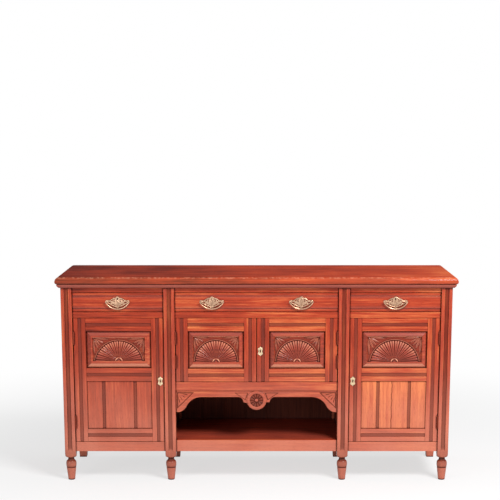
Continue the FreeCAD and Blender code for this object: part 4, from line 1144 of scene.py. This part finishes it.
# How far the roundel stands out from the apron's face, and the carved lines' depth, margin and half width
ROUNDEL_STAND = 3 * MM
CUT_DEPTH = 2.0 * MM
CUT_MARGIN = 7 * MM
STROKE_HALF = 1.3 * MM
BRACKET_STROKES = 4
# Triangle cut in a bracket: its drop under the margin, lift over the tip, width and line, in mm
BRACKET_CUT = (2, 16, 78, 3.2)
# Triangle cut beside the roundel: its drop under the margin, near and far distance and line, in mm
BESIDE_CUT = (4, 5, 56, 2.2)
# Distance, depth and grime and painted shade across the roundel's boss, in mm
BOSS_PROFILE = ((0, -0.6, 0.1), (3.4, -0.4, 0.1), (6.4, 0.6, 0.3), (8.4, 2.2, 0.9), (9.2, 3.0, 1.0))
BOSS_RADIUS = 9.6 * MM
PETAL_DEPTH = 3.0 * MM
PETAL_STEPS = 8
PETAL_SLICES = 8


def apron_outline(half, tip, edge, high, radius):
    """The apron's outline: its right half from the post to the roundel, the round and the other half."""
    middle = high - radius
    step = middle - radius * 0.2
    step_in = math.sqrt(radius ** 2 - (step - middle) ** 2)
    step_out = step_in + APRON_STEP
    run_out = step_out + APRON_CURVE
    tip_in, start_in = half - BRACKET_TIP, half - BRACKET_REACH
    fall, run = edge - tip, tip_in - start_in
    turn = (start_in + run * 0.66, tip + fall * 0.42)
    bulge = (start_in + run * 0.36, tip + fall * 0.86)
    hollow = (tip_in - run * 0.17, tip + fall * 0.12)
    diagonal = math.sin(math.pi / 4)
    sweep = (run_out - (run_out - step_out) * diagonal, step + (edge - step) * diagonal)
    right = [(half, high), (half, tip)]
    right += arc((tip_in, tip), hollow, turn, CURVE_STEPS)
    right += arc(turn, bulge, (start_in, edge), CURVE_STEPS)
    right += [(start_in, edge)]
    right += arc((run_out, edge), sweep, (step_out, step), CURVE_STEPS)
    right += [(step_out, step)]
    round_low = arc((step_in, step), (0, middle - radius), (-step_in, step), ROUND_STEPS)
    return right + round_low + mirrored(right)


def triangle_cut(corners, line):
    """A cut line round a triangle: its outline and a smaller one inside it, which stays standing."""
    x = sum(corner[0] for corner in corners) / 3
    z = sum(corner[1] for corner in corners) / 3
    reach = min(math.hypot(corner[0] - x, corner[1] - z) for corner in corners)
    share = 1 - 2 * line / reach
    return [list(corners), [(x + (cx - x) * share, z + (cz - z) * share) for cx, cz in corners]]


def leaf_strokes(corners, count):
    """Gouge strokes that fan out from a triangle's first corner towards its far side."""
    start, first, last = (Vector(corner) for corner in corners)
    strokes = []
    for index in range(count):
        far = first.lerp(last, (index + 1) / (count + 1))
        along = (far - start).normalized()
        across = Vector((-along.y, along.x)) * STROKE_HALF
        root, belly, tip = (start.lerp(far, share) for share in (0.34, 0.7, 0.82))
        strokes.append([tuple(root), tuple(belly + across), tuple(tip), tuple(belly - across)])
    return strokes


def apron_cuts(low, high, radius):
    """Outlines of the carved lines: a triangle with strokes in each bracket and one beside the roundel."""
    side = high.x - CUT_MARGIN
    drop, lift, width, line = (size * MM for size in BRACKET_CUT)
    level = high.z - CUT_MARGIN - drop
    bracket = [(side, level), (side, low.z + lift), (side - width, level)]
    right = triangle_cut(bracket, line)
    drop, near, far, line = (size * MM for size in BESIDE_CUT)
    level = high.z - CUT_MARGIN - drop
    beside = [(radius * 0.84, level), (radius + near, high.z - radius), (radius + far, level)]
    right += triangle_cut(beside, line) + leaf_strokes(bracket, BRACKET_STROKES)
    return right + [mirrored(cut) for cut in right]


def petal_points(side, ring):
    """A line up a petal as (distance, depth, grime and painted shade); side is 0 along its middle and 1 or -1
    at its edges.
    """
    crown = (1 - side * side) ** 0.7
    points = []
    for step in range(PETAL_STEPS + 1):
        share = step / PETAL_STEPS
        distance = BOSS_RADIUS + (ring - BOSS_RADIUS) * share
        swell = math.sin(math.pi * (0.15 + 0.85 * share)) ** 0.5 if share < 1 else 0.0
        sunk = PETAL_DEPTH - (PETAL_DEPTH - 0.3 * MM) * swell * crown
        grime = 1 - 0.32 * swell * crown - 0.18 * crown * share
        points.append((distance, sunk * (1 - 0.6 * crown * share), grime))
    return points


def roundel_mesh(centre, radius, back, front):
    """A low round that runs out into the apron, with a sunk flower of petals and a boss in its middle."""
    petals = carving_sizes().petals
    ring = radius * 0.66
    boss = [(distance * MM, sunk * MM, grime) for distance, sunk, grime in BOSS_PROFILE]
    rim = [
        (ring + 0.8 * MM, 0.5 * MM, 0.3), (ring + 2.2 * MM, 0.0, 0.0), (radius * 0.86, 0.2 * MM, 0.0),
        (radius * 0.95, 1.1 * MM, 0.0), (radius - 0.5 * MM, 2.6 * MM, 0.0),
        (radius - 0.1 * MM, back - front, 0.5),
    ]
    rows = []
    for index in range(petals * PETAL_SLICES):
        angle = 2 * math.pi * index / (petals * PETAL_SLICES)
        side = (index % PETAL_SLICES) / PETAL_SLICES * 2 - 1
        row = []
        for distance, sunk, grime in boss + petal_points(side, ring) + rim:
            x, z = polar(centre, distance, angle)
            row.append((x, front + sunk, z, grime))
        rows.append(row)
    shell = Shell()
    indexed = shell.loft(rows)
    shell.strip(indexed[-1], indexed[0])
    return shell.mesh("roundel", crease=50)


class CHIFFONIER_OT_apron(bpy.types.Operator):
    """Shape the apron over the pot shelf, with cut triangles and a carved roundel"""
    bl_idname = "chiffonier.apron"
    bl_label = "Apron"

    def execute(self, context):
        low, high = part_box("apron")
        recess = high.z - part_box("pot_shelf")[1].z
        radius = recess * ROUNDEL_SHARE
        edge = high.z - recess * EDGE_SHARE
        face = low.y + ROUNDEL_STAND
        sunk = face + CUT_DEPTH
        outline = apron_outline(high.x, low.z, edge, high.z, radius)
        board = cut_sheet("apron_board", [outline], sunk, high.y - sunk, 0.4 * MM)
        skin = cut_sheet("apron_skin", [outline] + apron_cuts(low, high, radius), face, CUT_DEPTH, 0.3 * MM)
        flower = roundel_mesh((0, high.z - radius), radius, sunk, low.y)
        wood = polished_wood("apron_wood", "X", tone_shift=-0.02, face=face)
        mesh = joined("apron_shaped", [board, skin, flower])
        add_piece("apron_shaped", mesh, "carcass", "show_wood", wood, "apron")
        return {"FINISHED"}


# Drop handles

# Right half of a handle plate's edge, from its crest to its foot, in mm from the line of the studs
PLATE_EDGE = (
    (0, 24), (4.5, 22), (8.5, 18.8), (12, 18.2), (16.5, 17.6), (20.5, 15.2), (24.5, 14), (29, 10.6),
    (34, 7.4), (39, 5.6), (45, 6.8), (51, 6), (54.4, 3), (54.8, -1.4), (51.5, -5.2), (46, -7.4),
    (40, -10.4), (34, -13.4), (28, -16.8), (22, -19.8), (16, -22.2), (10, -24.4), (5, -26.6),
)
PLATE_FOOT = (0, -28.4)
# Height of the solid plate's crest over the line of the studs, and half its width
PLATE_CREST = 23 * MM
PLATE_HALF = 55 * MM
PLATE_THICK = 1.6 * MM
# Distance of a stud from the plate's middle
STUD_OUT = 46.5 * MM
STUD_RADIUS = 3.1 * MM
# Openings pierced through a plate's right wing and cords that stand on it, in mm
WING_CUTS = (
    ((19.5, 10), (23, 9.6), (28, 6.2), (29.4, 3), (25.6, 3.2), (21, 6.4)),
    ((29.6, -3.6), (35, -1.4), (41, -1.6), (42, -3.8), (37, -6.2), (31, -7.2)),
    ((27, -8.4), (21, -10.6), (14, -14.4), (7, -19.4), (6, -21.4), (13.4, -17.6), (20.4, -14.2),
     (26.6, -11.4)),
    ((11.4, 12.8), (14.8, 11.6), (17.2, 7.4), (17, 2.4), (14.6, -2.2), (13, -1.4), (14.4, 3), (14.2, 7),
     (12, 9.8)),
)
WING_CORDS = (
    ((3, 20.8), (8, 17), (14, 15.8), (19, 13), (24.5, 11.8), (31, 7.8), (37, 5), (43, 4.6)),
    ((4, -25.2), (10, -22.6), (16, -20.4), (22, -18), (28, -14.8), (34, -11.4), (40, -8.4), (45, -5.4)),
    ((20, 1), (27, -0.6), (35, 0.8), (42, 1.2)),
)
# Width and rise of these cords
WING_CORD = (2.2 * MM, 1.3 * MM)
# Half width and height down the leaf in a plate's middle, in mm
LEAF_EDGE = ((0, 14), (5.4, 7), (11.4, -1), (8, -11), (3.4, -20), (0, -25.4))
# Share of the half width, rise in mm and grime from the leaf's ridge out to its edge
LEAF_RIDGE = (0, 2.8, 0)
LEAF_FLUTES = ((0.34, 0.8, 0.8), (0.62, 1.5, 0), (0.94, 0.7, 0.3), (1, -0.3, 1))
# How much the leaf is squeezed in height and how far it is lifted in mm, with a keyhole over it and without
KEYED_LEAF = (0.8, -4.4)
WHOLE_LEAF = (1, 4)
# Right half of a keyhole's edge, from its head to its foot, in mm; a drawer's is smaller
KEYHOLE_EDGE = ((0, 4.8), (3.2, 3.6), (4.2, 0.8), (2.6, -1.8), (2.8, -8))
KEYHOLE = KEYHOLE_EDGE + tuple(mirrored(KEYHOLE_EDGE[1:]))
DRAWER_KEYHOLE = tuple((x * 0.74, z * 0.74) for x, z in KEYHOLE)
DRAWER_KEYHOLE_LIFT = 13.0 * MM


def cast_leaf(shell, x, z, front, squeeze, lift):
    """An upright leaf in the middle of a plate, ridged down its middle with fluted sides."""
    left = [(-side, rise, grime) for side, rise, grime in reversed(LEAF_FLUTES)]
    section = left + [LEAF_RIDGE] + list(LEAF_FLUTES)
    rows = []
    for across, height in LEAF_EDGE:
        level = z + (height * squeeze + lift) * MM
        row = []
        for side, rise, grime in section:
            swell = min(1.0, across / 6 + 0.25) if rise > 0 else 1.0
            row.append((x + side * max(across, 0.5) * MM, front - rise * swell * MM, level, grime))
        rows.append(row)
    shell.loft(rows)


def turned_stud(shell, centre, front, reach):
    """A stud with a collar at the plate and a domed end, pointing to the front."""
    collar = ((0.0, 1.5), (0.8 * MM, 1.55), (1.6 * MM, 1.3), (2.2 * MM, 1.0))
    dome = ((reach - 2.0 * MM, 0.95), (reach - 0.8 * MM, 0.8), (reach, 0.35))
    rows = []
    for along, share in collar + dome:
        rows.append(circle((centre[0], front - along, centre[1]), STUD_RADIUS * share, 20, "Y"))
    shell.tube(rows)


def handle_plate_meshes(x, z, front, reach, keyed):
    """A pierced plate, and the leaf, studs and cords that stand on it."""
    edge = list(PLATE_EDGE)
    outlines = [moved(edge + [PLATE_FOOT] + mirrored(edge[1:]), x, z)]
    for hole in WING_CUTS:
        outlines.append(moved(hole, x, z))
        outlines.append(mirrored(outlines[-1], x))
    if keyed:
        outlines.append(moved(DRAWER_KEYHOLE, x, z + DRAWER_KEYHOLE_LIFT))
    sheet = cut_sheet("plate", outlines, front, PLATE_THICK, 0.5 * MM, smooth=True)
    shell = Shell()
    cast_leaf(shell, x, z, front, *(KEYED_LEAF if keyed else WHOLE_LEAF))
    for sign in (-1, 1):
        turned_stud(shell, (x + sign * STUD_OUT, z), front, reach)
    raise_pairs(shell, WING_CORDS, x, z, front, *WING_CORD)
    return [sheet, shell.mesh("plate_relief", crease=50)]


class CHIFFONIER_OT_handle_plates(bpy.types.Operator):
    """Cast the pierced plates of the drop handles"""
    bl_idname = "chiffonier.handle_plates"
    bl_label = "Handle plates"

    def execute(self, context):
        for node, body in (("left_handle_plate", "left_drawer"), ("right_handle_plate", "right_drawer"),
                           ("centre_handle_plates", "centre_drawer")):
            low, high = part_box(node)
            height = high.z - PLATE_CREST
            front = DRAWER_FACE - PLATE_THICK
            reach = front - low.y
            keyed = node != "centre_handle_plates"
            places = [(low.x + high.x) / 2] if keyed else [low.x + PLATE_HALF, high.x - PLATE_HALF]
            meshes = []
            for x in places:
                meshes += handle_plate_meshes(x, height, front, reach, keyed)
            whole = joined(node + "_cast", meshes)
            add_piece(node + "_cast", whole, body, "brass", metal("rubbed_brass"), node)
        return {"FINISHED"}


# A bail's crescent: half its span between the ends, its drop, half its thickness at the grip and its lean
BAIL_END = 54.5 * MM
BAIL_DROP = 33 * MM
BAIL_GRIP = 3.1 * MM
BAIL_LEAN = 5 * MM
BAIL_STEPS = 40
BAIL_SIDES = 14
# Distance from the middle, in mm, and share of the radius along a pin that holds a bail to its stud
PIN_PROFILE = ((41.5, 0.5), (42.3, 1.0), (53.0, 1.0), (55.2, 1.0))
PIN_RADIUS = 1.5 * MM


def bail_thickness(share):
    """Half the thickness at a share of the way from the middle out to an end, beaded at the grip."""
    if share < 0.09:
        return BAIL_GRIP
    if share < 0.14 or share > 0.96:
        return 2.4 * MM
    return (2.1 + 0.9 * (1 - share ** 1.6)) * MM


def bail_mesh(node):
    """A crescent that swells to a bead at the grip and leans back to the plate, with a pin at each end."""
    low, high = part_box(node)
    middle = (low + high) / 2
    axis_z = low.z + BAIL_DROP + BAIL_GRIP
    radius = (BAIL_END ** 2 + BAIL_DROP ** 2) / (2 * BAIL_DROP)
    sweep = math.asin(BAIL_END / radius)
    shell = Shell()
    rows = []
    for index in range(BAIL_STEPS + 1):
        share = 2 * index / BAIL_STEPS - 1
        angle = share * sweep
        thick = bail_thickness(abs(share))
        outward = Vector((math.sin(angle), 0, -math.cos(angle)))
        lean = BAIL_LEAN * (1 - share * share)
        centre = Vector((middle.x, middle.y + lean, axis_z + radius - BAIL_DROP)) + outward * radius
        row = []
        for step in range(BAIL_SIDES):
            turn = 2 * math.pi * step / BAIL_SIDES
            row.append(centre + (outward * math.cos(turn) + Vector((0, math.sin(turn), 0))) * thick)
        rows.append(row)
    shell.tube(rows)
    for sign in (-1, 1):
        pin = []
        for along, share in PIN_PROFILE:
            place = (middle.x + sign * along * MM, middle.y, axis_z)
            pin.append(circle(place, PIN_RADIUS * share, BAIL_SIDES, "X"))
        shell.tube(pin)
    return shell.mesh(node + "_cast", crease=50)


class CHIFFONIER_OT_bails(bpy.types.Operator):
    """Cast the crescent bails of the drop handles"""
    bl_idname = "chiffonier.bails"
    bl_label = "Handle bails"

    def execute(self, context):
        for body, node in HANDLE_BAILS.items():
            add_piece(node + "_cast", bail_mesh(node), body, "brass", metal("rubbed_brass"), node)
        return {"FINISHED"}


# Locks

# Right half of a key plate's edge from its top to its foot, and the cords on its right half, in mm
KEY_PLATE_EDGE = (
    (0, 22.5), (2.4, 18.6), (7.6, 15.4), (11.4, 11.2), (9.6, 6.6), (8.2, 2.4),
    (8.4, -2.6), (10.4, -7.2), (11.4, -11.4), (8.4, -15.2), (3.2, -18.4), (0, -22.5),
)
KEY_PLATE_CORDS = (
    ((5.2, 5.2), (5.6, 1.6), (4.8, -2.2), (4.9, -8.4)),
    ((1.4, 17.6), (6.8, 13.4), (8.8, 10.6)),
    ((8.8, -10.6), (6.8, -13.4), (1.4, -17.6)),
)
# Width and rise of these cords
KEY_PLATE_CORD = (2.0 * MM, 0.9 * MM)
KEYHOLE_LIFT = 3 * MM
# Distance of the key from the end of a lock, depth of its case and play at the ends
KEY_INSET = 16 * MM
LOCK_DEPTH = 11 * MM
CASE_PLAY = 0.4 * MM
# Distance from the middle of the plate to its pins, from the case's edges to its screws, and their radii
PLATE_PIN_OUT = 14.4 * MM
PLATE_PIN_RADIUS = 1.3 * MM
CASE_SCREW_IN = 6 * MM
CASE_SCREW_RADIUS = 2.6 * MM


def pin_head(shell, centre, radius, toward):
    """A low domed head of a pin; toward is 1 if it faces the back and -1 if it faces the front."""
    rows = []
    for share, height in ((1.0, -0.2), (1.0, 0.05), (0.8, 0.25), (0.2, 0.38)):
        rows.append(circle(Vector(centre) + Vector((0, toward * height * MM, 0)), radius * share, 16, "Y"))
    shell.tube(rows)


def lock_meshes(node, key_x):
    """A key plate on the face of a door, a lock's case at its back, and their pins, cords and screws."""
    low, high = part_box(node)
    middle = (low.z + high.z) / 2
    case_front = DOOR_BACK - LOCK_DEPTH
    right = list(KEY_PLATE_EDGE)
    edge = moved(right + mirrored(right[1:-1]), key_x, middle)
    keyhole = moved(KEYHOLE, key_x, middle + KEYHOLE_LIFT)
    plate = cut_sheet("key_plate", [edge, keyhole], low.y, DOOR_FACE - low.y, 0.35 * MM, smooth=True)
    corners = rectangle(low.x + CASE_PLAY, high.x - CASE_PLAY, low.z, high.z, case_front)
    outline = [(x, z) for x, y, z, grime in corners]
    case = cut_sheet("lock_case", [outline], case_front, LOCK_DEPTH, 0.6 * MM)
    heads = Shell()
    for sign in (1, -1):
        pin_head(heads, (key_x, low.y, middle + sign * PLATE_PIN_OUT), PLATE_PIN_RADIUS, -1)
    raise_pairs(heads, KEY_PLATE_CORDS, key_x, middle, low.y, *KEY_PLATE_CORD)
    for x in (low.x + CASE_SCREW_IN, high.x - CASE_SCREW_IN):
        for z in (low.z + CASE_SCREW_IN, high.z - CASE_SCREW_IN):
            pin_head(heads, (x, DOOR_BACK, z), CASE_SCREW_RADIUS, 1)
    return [plate, case, heads.mesh("lock_screws")]


class CHIFFONIER_OT_locks(bpy.types.Operator):
    """Fit the locks with their key plates"""
    bl_idname = "chiffonier.locks"
    bl_label = "Locks and key plates"

    def execute(self, context):
        for door in ("left_door", "right_door", "centre_right_door"):
            node = door + "_lock"
            low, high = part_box(node)
            key_x = high.x - KEY_INSET if door == "left_door" else low.x + KEY_INSET
            whole = joined(node + "_fitted", lock_meshes(node, key_x))
            add_piece(node + "_fitted", whole, door, "brass", metal("pale_brass"), node)
            dress(node + "_bolt", metal("dull_iron"), 0.5 * MM)
        return {"FINISHED"}


class CHIFFONIER_OT_hinges(bpy.types.Operator):
    """Finish the hinges and the tower bolt of the centre doors"""
    bl_idname = "chiffonier.hinges"
    bl_label = "Hinges and tower bolt"

    def execute(self, context):
        for owner in DOORS + ("post",):
            dress(owner + "_hinge_leaves", metal("brown_bronze"), 0.3 * MM)
        for part in ("plate", "rod"):
            dress("centre_left_door_bolt_" + part, metal("dull_iron"), 0.3 * MM)
        return {"FINISHED"}


# Plain solids

# Distance of a drawer front's beads from its middle, as a share of its height
BEAD_SHARE = 0.365
# Distance of the crack in the right door's planks from their middle, to the left
CRACK_OFF = 9 * MM


class CHIFFONIER_OT_show_wood(bpy.types.Operator):
    """Polish the rails, doors, drawer fronts and ends"""
    bl_idname = "chiffonier.show_wood"
    bl_label = "Polished wood"

    def execute(self, context):
        # The sweep paints these rails lighter towards the right, a painted light gradient.
        long_wood = polished_wood("rail_wood", "X", sweep=0.12)
        shelf_wood = polished_wood("shelf_wood", "X", tone_shift=-0.16, haze=0.22)
        upright = polished_wood("upright_wood", "Z")
        side_wood = polished_wood("end_rail_wood", "Y")
        low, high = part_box("left_drawer_front")
        beads = ((low.z + high.z) / 2, (high.z - low.z) * BEAD_SHARE)
        drawer_wood = polished_wood("drawer_wood", "X", tone_shift=-0.02, beads=beads)
        # The sweep paints these rails lighter towards the right, a painted light gradient.
        rail_wood = polished_wood("door_rail_wood", "X", face=DOOR_FACE, tone_shift=-0.04, sweep=0.14)
        centre_rail_wood = polished_wood("centre_door_rail_wood", "X", face=DOOR_FACE, tone_shift=0.1)
        stile_wood = polished_wood("door_stile_wood", "Z", face=DOOR_FACE, tone_shift=-0.05)
        plank_wood = polished_wood("plank_wood", "Z", face=PLANK_FACE, tone_shift=-0.06)
        low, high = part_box("right_door_plank_panel")
        split = (low.x + high.x) / 2 - CRACK_OFF
        pale_plank = polished_wood("pale_plank_wood", "Z", face=PLANK_FACE, tone_shift=0.3, split=split)
        dress("front_rails", long_wood, 0.7 * MM)
        dress("pot_shelf", shelf_wood, 0.7 * MM)
        for node in ("end_panels", "rear_posts"):
            dress(node, upright, 0.9 * MM)
        dress("end_rails", side_wood, 0.9 * MM)
        for drawer in ("left", "centre", "right"):
            dress(drawer + "_drawer_front", drawer_wood, 0.8 * MM)
        for door in DOORS:
            dress(door + "_rails", centre_rail_wood if door.startswith("centre") else rail_wood, 1.1 * MM)
            dress(door + "_stiles", stile_wood, 0.8 * MM)
        dress("left_door_plank_panel", plank_wood, 0.8 * MM)
        dress("right_door_plank_panel", pale_plank, 0.8 * MM)
        return {"FINISHED"}


class CHIFFONIER_OT_inside_wood(bpy.types.Operator):
    """Finish the plain wood of the drawers, backs, boards and runners"""
    bl_idname = "chiffonier.inside_wood"
    bl_label = "Inside wood"

    def execute(self, context):
        colours = finish_colours()
        upright = plain_wood("back_board_wood", "Z", colours.grime, colours.stained)
        boards = plain_wood("shelf_board_wood", "X", colours.inside_dark, colours.inside)
        runners = plain_wood("runner_wood", "Y", colours.inside_dark, colours.inside)
        for node in ("back_panels", "partitions"):
            dress(node, upright, 0.7 * MM)
        for node in ("cupboard_boards", "door_stops"):
            dress(node, boards, 0.7 * MM)
        dress("drawer_runners", runners, 0.7 * MM)
        for drawer in ("left", "centre", "right"):
            dress(drawer + "_drawer_box", runners, 0.5 * MM)
        return {"FINISHED"}


# Stage

FLOOR_RADIUS = 14
# Place, size in metres and power in watts of each soft light
SOFTBOXES = {
    "key_light": ((2.2, -3.2, 3.8), (1.8, 1.4), 285),
    "fill_light": ((-3.0, -3.8, 1.5), (2.2, 1.8), 70),
    "top_light": ((0, 0.4, 3.2), (3.0, 1.2), 20),
}


def background_seen(graph):
    """1 for rays that show the background, straight or in a reflection, and 0 for those that light."""
    camera = graph.node("ShaderNodeLightPath", {}, {}, "Is Camera Ray")
    glossy = graph.node("ShaderNodeLightPath", {}, {}, "Is Glossy Ray")
    through = graph.node("ShaderNodeLightPath", {}, {}, "Is Transmission Ray")
    return camera.over(glossy).over(through)


def paper_material(name):
    """A white sheet that stays white to the eye and in reflections, and still takes the object's shadow."""
    graph = Graph(bpy.data.materials.new(name))
    seen = background_seen(graph)
    paper = bpy.context.scene.chiffonier_stage.paper
    soft = graph.node("ShaderNodeBsdfDiffuse", {}, {"Color": paper})
    glow = graph.node("ShaderNodeEmission", {}, {"Color": (1, 1, 1), "Strength": 1.0})
    distance = graph.vector("LENGTH", graph.place(), (0, 0, 0), "Value")
    shade = 0.66 + distance.band(1.0, 3.2) * 0.34
    both = graph.node("ShaderNodeMixShader", {}, {0: seen * shade, 1: soft, 2: glow})
    graph.node("ShaderNodeOutputMaterial", {}, {"Surface": both})
    return graph.owner


def set_world(scene):
    """A white background that lights the object only a little."""
    world = bpy.data.worlds.new("studio")
    scene.world = world
    graph = Graph(world)
    fill = graph.node("ShaderNodeBackground", {}, {"Color": (1, 1, 1), "Strength": 0.22})
    white = graph.node("ShaderNodeBackground", {}, {"Color": (1, 1, 1), "Strength": 1.0})
    both = graph.node("ShaderNodeMixShader", {}, {0: background_seen(graph), 1: fill, 2: white})
    graph.node("ShaderNodeOutputWorld", {}, {"Surface": both})


def softbox(name, place, target, size, power):
    """A soft rectangular light turned towards a target."""
    light = bpy.data.lights.new(name, "AREA")
    light.shape = "RECTANGLE"
    light.size, light.size_y = size
    light.energy = power
    lamp = bpy.data.objects.new(name, light)
    lamp.location = place
    lamp.rotation_euler = (Vector(target) - Vector(place)).to_track_quat("-Z", "Y").to_euler()
    bpy.context.scene.collection.objects.link(lamp)


class CHIFFONIER_OT_stage(bpy.types.Operator):
    """Set the floor, the soft lights and the camera"""
    bl_idname = "chiffonier.stage"
    bl_label = "Stage"

    def execute(self, context):
        scene = context.scene
        settings = scene.chiffonier_stage
        shell = Shell()
        shell.cap(shell.row(circle((0, 0, FLOOR), FLOOR_RADIUS, 64, "Z")))
        floor = bpy.data.objects.new("studio_floor", shell.mesh("studio_floor"))
        floor.data.materials.append(paper_material("white_paper"))
        scene.collection.objects.link(floor)
        set_world(scene)
        for name, (place, size, power) in SOFTBOXES.items():
            softbox(name, place, (0, 0, HEIGHT / 2), size, power)
        camera = bpy.data.objects.new("camera", bpy.data.cameras.new("camera"))
        camera.data.lens = settings.lens
        camera.data.shift_x = settings.shift_across
        camera.data.shift_y = settings.shift_up
        camera.location = (0, -settings.distance, settings.height)
        camera.rotation_euler = (math.pi / 2 - settings.tilt, 0, 0)
        scene.collection.objects.link(camera)
        scene.camera = camera
        scene.view_settings.view_transform = "Standard"
        return {"FINISHED"}


class CHIFFONIER_PT_panel(bpy.types.Panel):
    """Lists the steps that dress the sideboard"""
    bl_idname = "CHIFFONIER_PT_panel"
    bl_label = "Chiffonier"
    bl_space_type = "VIEW_3D"
    bl_region_type = "UI"
    bl_category = "Chiffonier"

    def draw(self, context):
        for step in STEPS:
            self.layout.operator(step.bl_idname)
        for group, settings in GROUPS.items():
            for name in settings.__annotations__:
                self.layout.prop(getattr(context.scene, group), name)


STEPS = (
    CHIFFONIER_OT_show_wood,
    CHIFFONIER_OT_inside_wood,
    CHIFFONIER_OT_top,
    CHIFFONIER_OT_posts,
    CHIFFONIER_OT_fan_panels,
    CHIFFONIER_OT_apron,
    CHIFFONIER_OT_handle_plates,
    CHIFFONIER_OT_bails,
    CHIFFONIER_OT_locks,
    CHIFFONIER_OT_hinges,
    CHIFFONIER_OT_stage,
)
GROUPS = {
    "chiffonier_finish": FinishColours,
    "chiffonier_carving": CarvingSizes,
    "chiffonier_stage": StageSettings,
}


def register():
    for group in GROUPS.values():
        bpy.utils.register_class(group)
    for step in STEPS:
        bpy.utils.register_class(step)
    bpy.utils.register_class(CHIFFONIER_PT_panel)
    for name, group in GROUPS.items():
        setattr(bpy.types.Scene, name, PointerProperty(type=group))


def unregister():
    for name in GROUPS:
        delattr(bpy.types.Scene, name)
    bpy.utils.unregister_class(CHIFFONIER_PT_panel)
    for step in reversed(STEPS):
        bpy.utils.unregister_class(step)
    for group in GROUPS.values():
        bpy.utils.unregister_class(group)


def main():
    register()
    for step in STEPS:
        family, name = step.bl_idname.split(".")
        getattr(getattr(bpy.ops, family), name)()


if __name__ == "__main__":
    main()
